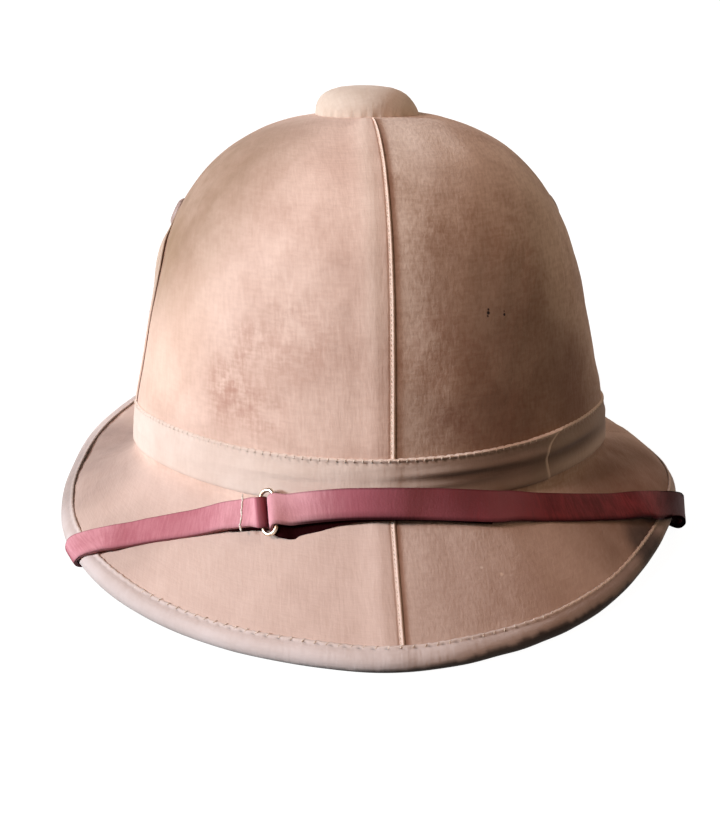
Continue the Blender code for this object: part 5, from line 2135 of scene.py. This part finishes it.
    def build(self) -> None:
        """Lay both pieces, bend the ring, sew the fold and set the hidden rivets."""
        self.build_piece(
            "strap_left_leather", "chin_strap_short",
            self.over_front(self.short_rear, -1, -1), self.round_bar(-1, 0),
            self.over_front(self.short_front, -1), self.on_brim(self.left_landing),
            self.round_edge(self.left_wrap), self.inside(self.left_under))
        self.build_piece(
            "strap_right_leather", "chin_strap_long",
            self.over_front(self.long_rear, 1, -1), self.round_bar(1, self.rear_fall),
            self.over_front(self.long_front, 1), self.on_brim(self.right_landing),
            self.round_edge(self.right_wrap), self.inside(self.right_under))
        self.build_ring()
        self.sew_fold()
        self.build_rivets()

    def build_ring(self) -> None:
        """Draw a torus out to the rounded oblong of the wire ring."""
        middle, along, across, face = self.ring_frame()
        half_w, half_t = self.ring_bars / 2, self.ring_tall / 2
        spots = []
        for cx, cy, start in ((1, 1, 0), (-1, 1, 90), (-1, -1, 180), (1, -1, 270)):
            for turn in np.linspace(0, 90, 10):
                t = math.radians(start + turn)
                spots.append((cx * (half_w - self.ring_corner) + self.ring_corner * math.cos(t),
                              cy * (half_t - self.ring_corner) + self.ring_corner * math.sin(t),
                              t))
        v = np.arange(self.ring_sides)[:, None] * 2 * math.pi / self.ring_sides
        points = []
        for x, y, t in spots:
            out = along * math.cos(t) + across * math.sin(t)
            centre = middle + along * x + across * y
            points.append(centre + (out * np.cos(v) + face * np.sin(v)) * self.ring_wire / 2)
        ring = drawn_torus("ring_wire", FORM.placed(np.stack(points)))
        bpy.ops.object.shade_smooth()
        brass = DrawnBrass("pale_brass_wire", "ecdcc6", "bfa488", 0.24)
        handed_over(ring, brass.material(), "ring_brass", "strap_ring")

    def sew_fold(self) -> None:
        """White thread across the fold of the left piece, wrapped over both its edges."""
        path = self.over_front(((-27.3, 1, 0.3, 0), (-26.9, 1, 0.3, 0)), -1)
        top, foot = path.plus[1], path.minus[0]
        face = path.plus_face[0]
        lift = self.wall / 2 + 0.15
        share = np.linspace(-0.03, 1.03, 12)[:, None]
        line = top * (1 - share) + foot * share + face * lift
        thread = TwistedThread("white_linen_thread", "f6efe6", "cdbba8")
        row = Stitching(pitch=3.3, length=3.7, width=0.75, height=0.6, slant=7,
                        uneven=5, sides=10, rings=7).row(
            "strap_thread", line, np.repeat(face[None], len(line), axis=0), 3)
        handed_over(row, thread.material(), "strap_leather")

    def build_rivets(self) -> None:
        """Domed rivet heads through the hidden ends."""
        brass = DrawnBrass("dull_brass_rivet", "b59a68", "7e6740", 0.38).material()
        for name, rows in (("strap_rivet_left", self.left_under),
                           ("strap_rivet_right", self.right_under)):
            azimuth, station = self.under_path(rows)
            facing = -FORM.normal(azimuth[-3], station[-3])
            level = unit(np.cross([0, 0, 1], facing))
            low = self.wall / 2 + 0.6
            origin = self.under_point(azimuth[-3], station[-3]) + facing * low
            head = turned(name + "_head", ((3.9, 0), (4.45, 0.25), (4.3, 0.65), (3.4, 1),
                                           (2, 1.17), (0.6, 1.2)), 32)
            seated(head, origin, level, facing)
            handed_over(head, brass, "rivet_brass", name)


# ---- studio ----


@dataclass(frozen=True)
class SoftLight:
    """One soft studio light: where it shines from, its spread, strength and colour."""

    name: str
    azimuth: float
    elevation: float
    spread: float
    strength: float
    colour: tuple[float, float, float]


@dataclass
class Studio:
    """Plain pale floor, soft light from the left and the camera at the photo's angle."""

    target: tuple[float, float, float] = (1.051, -1.007, 38)
    target_pixel: tuple[float, float] = (368.8, 398)
    picture: tuple[float, float] = (720, 827)
    azimuth: float = -3.7
    elevation: float = 22.0
    distance: float = 700.0
    focal_pixels: float = 1590.9
    sensor: float = 36.0
    lights: tuple[SoftLight, ...] = (
        SoftLight("window", -80, 18, 12, 3.99, (0.74, 0.888, 1)),
        SoftLight("lamp", -58, 38, 12, 1.55, (1, 0.734, 0.683)),
        SoftLight("room", 70, 38, 45, 0.59, (1, 0.73, 0.503)),
        SoftLight("back_left", -150, 14, 60, 0.7, (1, 0.9, 0.85)),
        SoftLight("back_right", 150, 14, 60, 0.9, (1, 0.84, 0.74)),
    )

    def build(self) -> None:
        """Set the floor, the lights, the world and the camera."""
        self.build_floor()
        for light in self.lights:
            self.build_light(light)
        self.build_world()
        self.build_camera()

    def build_floor(self) -> None:
        """Pale matte floor that shows bright but throws little light back."""
        floor = primitive("studio_floor", bpy.ops.mesh.primitive_plane_add, size=14)
        floor.data.materials.append(StudioPaper().material())
        floor.visible_diffuse = False

    def build_light(self, light: SoftLight) -> None:
        """Add one distant soft light.

        Args:
            light: the light.
        """
        a, e = math.radians(light.azimuth), math.radians(light.elevation)
        bpy.ops.object.light_add(type="SUN", rotation=(math.radians(90) - e, 0, a))
        lamp = bpy.context.object
        lamp.name = light.name
        lamp.data.energy = light.strength
        lamp.data.angle = math.radians(light.spread)
        lamp.data.color = light.colour

    def build_world(self) -> None:
        """Weak warm light from all round."""
        world = bpy.data.worlds.new("studio_world")
        bpy.context.scene.world = world
        world.use_nodes = True
        feed(world.node_tree.nodes["Background"],
             {"Color": (1, 0.8, 0.66, 1), "Strength": 0.04})

    def build_camera(self) -> None:
        """Stand the camera so that the target lands on its pixel."""
        a, e = math.radians(self.azimuth), math.radians(self.elevation)
        back = np.array([math.sin(a) * math.cos(e), -math.cos(a) * math.cos(e), math.sin(e)])
        right = np.array([math.cos(a), math.sin(a), 0])
        up = np.cross(back, right)
        across = (self.target_pixel[0] - self.picture[0] / 2) / self.focal_pixels
        above = (self.picture[1] / 2 - self.target_pixel[1]) / self.focal_pixels
        ray = right * across + up * above - back
        place = np.array(self.target) - ray * self.distance
        bpy.ops.object.camera_add()
        camera = bpy.context.object
        camera.name = "photo_camera"
        matrix = np.eye(4)
        matrix[:3, 0], matrix[:3, 1], matrix[:3, 2] = right, up, back
        matrix[:3, 3] = place * MM
        camera.matrix_world = Matrix(matrix.tolist())
        camera.data.sensor_width = self.sensor
        camera.data.lens = self.focal_pixels * self.sensor / self.picture[1]
        camera.data.clip_end = 40
        bpy.context.scene.camera = camera
        bpy.context.scene.view_settings.view_transform = "Standard"


# ---- the cloths and where they are marked ----


# the near-black colour is for the strap's painted shadow on brim and binding
BROWN, RUST, TAN, DUN, COPPER, SHADOW_BLACK = "66360f", "a87460", "8f7056", "7d6459", "663809", "1f120a"
# the left cloth is the paler copy, painted light on the side the light falls on: its pale peach
# mark is a painted highlight, its tan and 8a663a marks painted shade on the upper-left shoulder,
# its dun marks painted shade on the rear-left and lower-left brim, and its rust marks stained
# patches
LEFT_CLOTH = WovenCotton(
    "cotton_left_painted_lit", "e6c5b2", "cfab98", skylit="cdb3a6", mottle=0.18, marks=(
        Mark((-84, -30, 84), 60, 0.28, "e8bfa0"), Mark((-68, -6, 134), 74, 0.8, TAN),
        Mark((-88, -8, 108), 30, 0.3, "8a663a"), Mark((-45, -10, 152), 40, 0.2, TAN),
        Mark((-123, 12, 14), 50, 0.65, DUN), Mark((-122, -40, 14), 40, 0.42, DUN),
        Mark((-106, -90, 9), 34, 0.3, DUN), Mark((-53, -81, 93), 13, 0.42, RUST, True),
        Mark((-61, -80, 79), 14, 0.42, RUST, True), Mark((-58, -83, 73), 17, 0.46, RUST, True),
        Mark((-47, -94, 70), 17, 0.38, RUST, True), Mark((-36, -90, 97), 24, 0.3, RUST, True)))
# the right cloth is a darker, browner copy, painted shade on the side away from the light, with a
# streakier weave of its own; its brown and copper marks darken the right of crown and brim, partly
# stained patches and partly painted shade
RIGHT_CLOTH = WovenCotton(
    "cotton_right_painted_shade", "ddc2ae", "ba9983", skylit="c3a699", mottle=0.28, warp_run=3.6,
    warp_weight=1.2, marks=(
        Mark((22, -36, 158), 36, 0.35, "f6e0d0"), Mark((46, -66, 128), 44, 0.12, BROWN),
        Mark((64, -84, 66), 44, 0.3, "7a4820"), Mark((58, -84, 76), 58, 0.5, BROWN),
        Mark((84, -54, 68), 30, 0.25, BROWN), Mark((38, -104, 62), 27, 0.45, BROWN),
        Mark((80, -66, 66), 28, 0.2, BROWN), Mark((32, -84, 110), 36, 0.2, BROWN),
        Mark((10, -108, 68), 20, 0.28, BROWN), Mark((24, -108, 66), 16, 0.3, "7a4434", True),
        Mark((108, -54, 26), 54, 0.68, COPPER), Mark((96, -92, 18), 44, 0.5, COPPER),
        Mark((105, -94, 12), 16, 0.75, SHADOW_BLACK), Mark((22, -97, 96), 24, 0.25, RUST, True),
        Mark((32.3, -134.5, 23.5), 1.1, 0.9, "fff0e2"),
        Mark((39.6, -135.1, 20.8), 1.3, 0.8, "f8dfcb")),
    holes=tuple(Mark(place, radius, strength, core=0.7) for place, radius, strength in (
        ((39.3, -85.7, 106.4), 1, 1), ((39.2, -86.2, 105.2), 1.1, 1),
        ((38.9, -86.7, 104.1), 0.8, 0.9), ((45.8, -82.2, 104.4), 0.7, 0.9),
        ((45.8, -82.6, 103.2), 0.8, 1), ((33.4, -80.3, 122.7), 0.8, 0.4))))
# the band's brown mark is painted shade right of the front; its darker colour is for the needle
# holes and the painted shade
BAND_CLOTH = WovenCotton("band_cotton", "e4cdbd", "d6bcab", soil_and_shade_colour="4e3520", mottle=0.12,
                         marks=(Mark((50, -104, 36), 32, 0.42, "84562c"),))
# the binding's marks are painted shade: brown on the right front and right side, grey-brown on the
# rear left, and the strap's painted shadow by its right end
BINDING_CLOTH = WovenCotton(
    "binding_cotton", "dccbc4", "ccb8ae", soil_and_shade_colour="2a180e", mottle=0.08, marks=(
        Mark((90, -112, 6), 64, 0.55, "80552f"), Mark((46, -152, 5), 40, 0.36, "80552f"),
        Mark((-127, -16, 8), 60, 0.4, "6f5a50"), Mark((106, -97, 9), 15, 0.85, SHADOW_BLACK)))
BUTTON_CLOTH = WovenCotton("button_cotton", "dcc8b6", "cdb6a2",
                           marks=(Mark((19, -6, 165), 20, 0.6, "f8e6d6"),))


# ---- the whole helmet ----


def main() -> None:
    """Build every piece in order."""
    logging.basicConfig(level=logging.INFO, format="%(name)s: %(message)s")
    front, right, back, left = FORM.seams
    over, under = LapRole.OVER, LapRole.UNDER
    PithShell().build()
    covers = ClothCovers((
        Panel("cover_front_left", left, front, under, over, LEFT_CLOTH),
        Panel("cover_front_right", front, right, under, under, RIGHT_CLOTH),
        Panel("cover_rear_right", right, back, over, under, RIGHT_CLOTH),
        Panel("cover_rear_left", back - 360, left, over, over, LEFT_CLOTH)))
    covers.build()
    SeamSewing(covers).build()
    band = HatBand(BAND_CLOTH)
    band.build()
    binding = EdgeBinding(BINDING_CLOTH, band)
    binding.build()
    whip = TwistedThread("whip_thread", "ead8c6", "c0a690").material()
    for strip, name, slot, length, slant, seed in (
            (band, "band_whip_stitches", "cotton_band", 1.5, 66, 21),
            (binding, "binding_whip_stitches", "cotton_binding", 1.8, 58, 22)):
        stitching = Stitching(strip.pitch, length, 0.5, 0.36, slant=slant)
        handed_over(stitching.row(name, *strip.stitch_line(), seed), whip, slot)
    TopButton(BUTTON_CLOTH).build()
    SideEyelets().build()
    ChinStrap().build()
    Studio().build()
    bpy.context.view_layer.update()


if __name__ == "__main__":
    main()
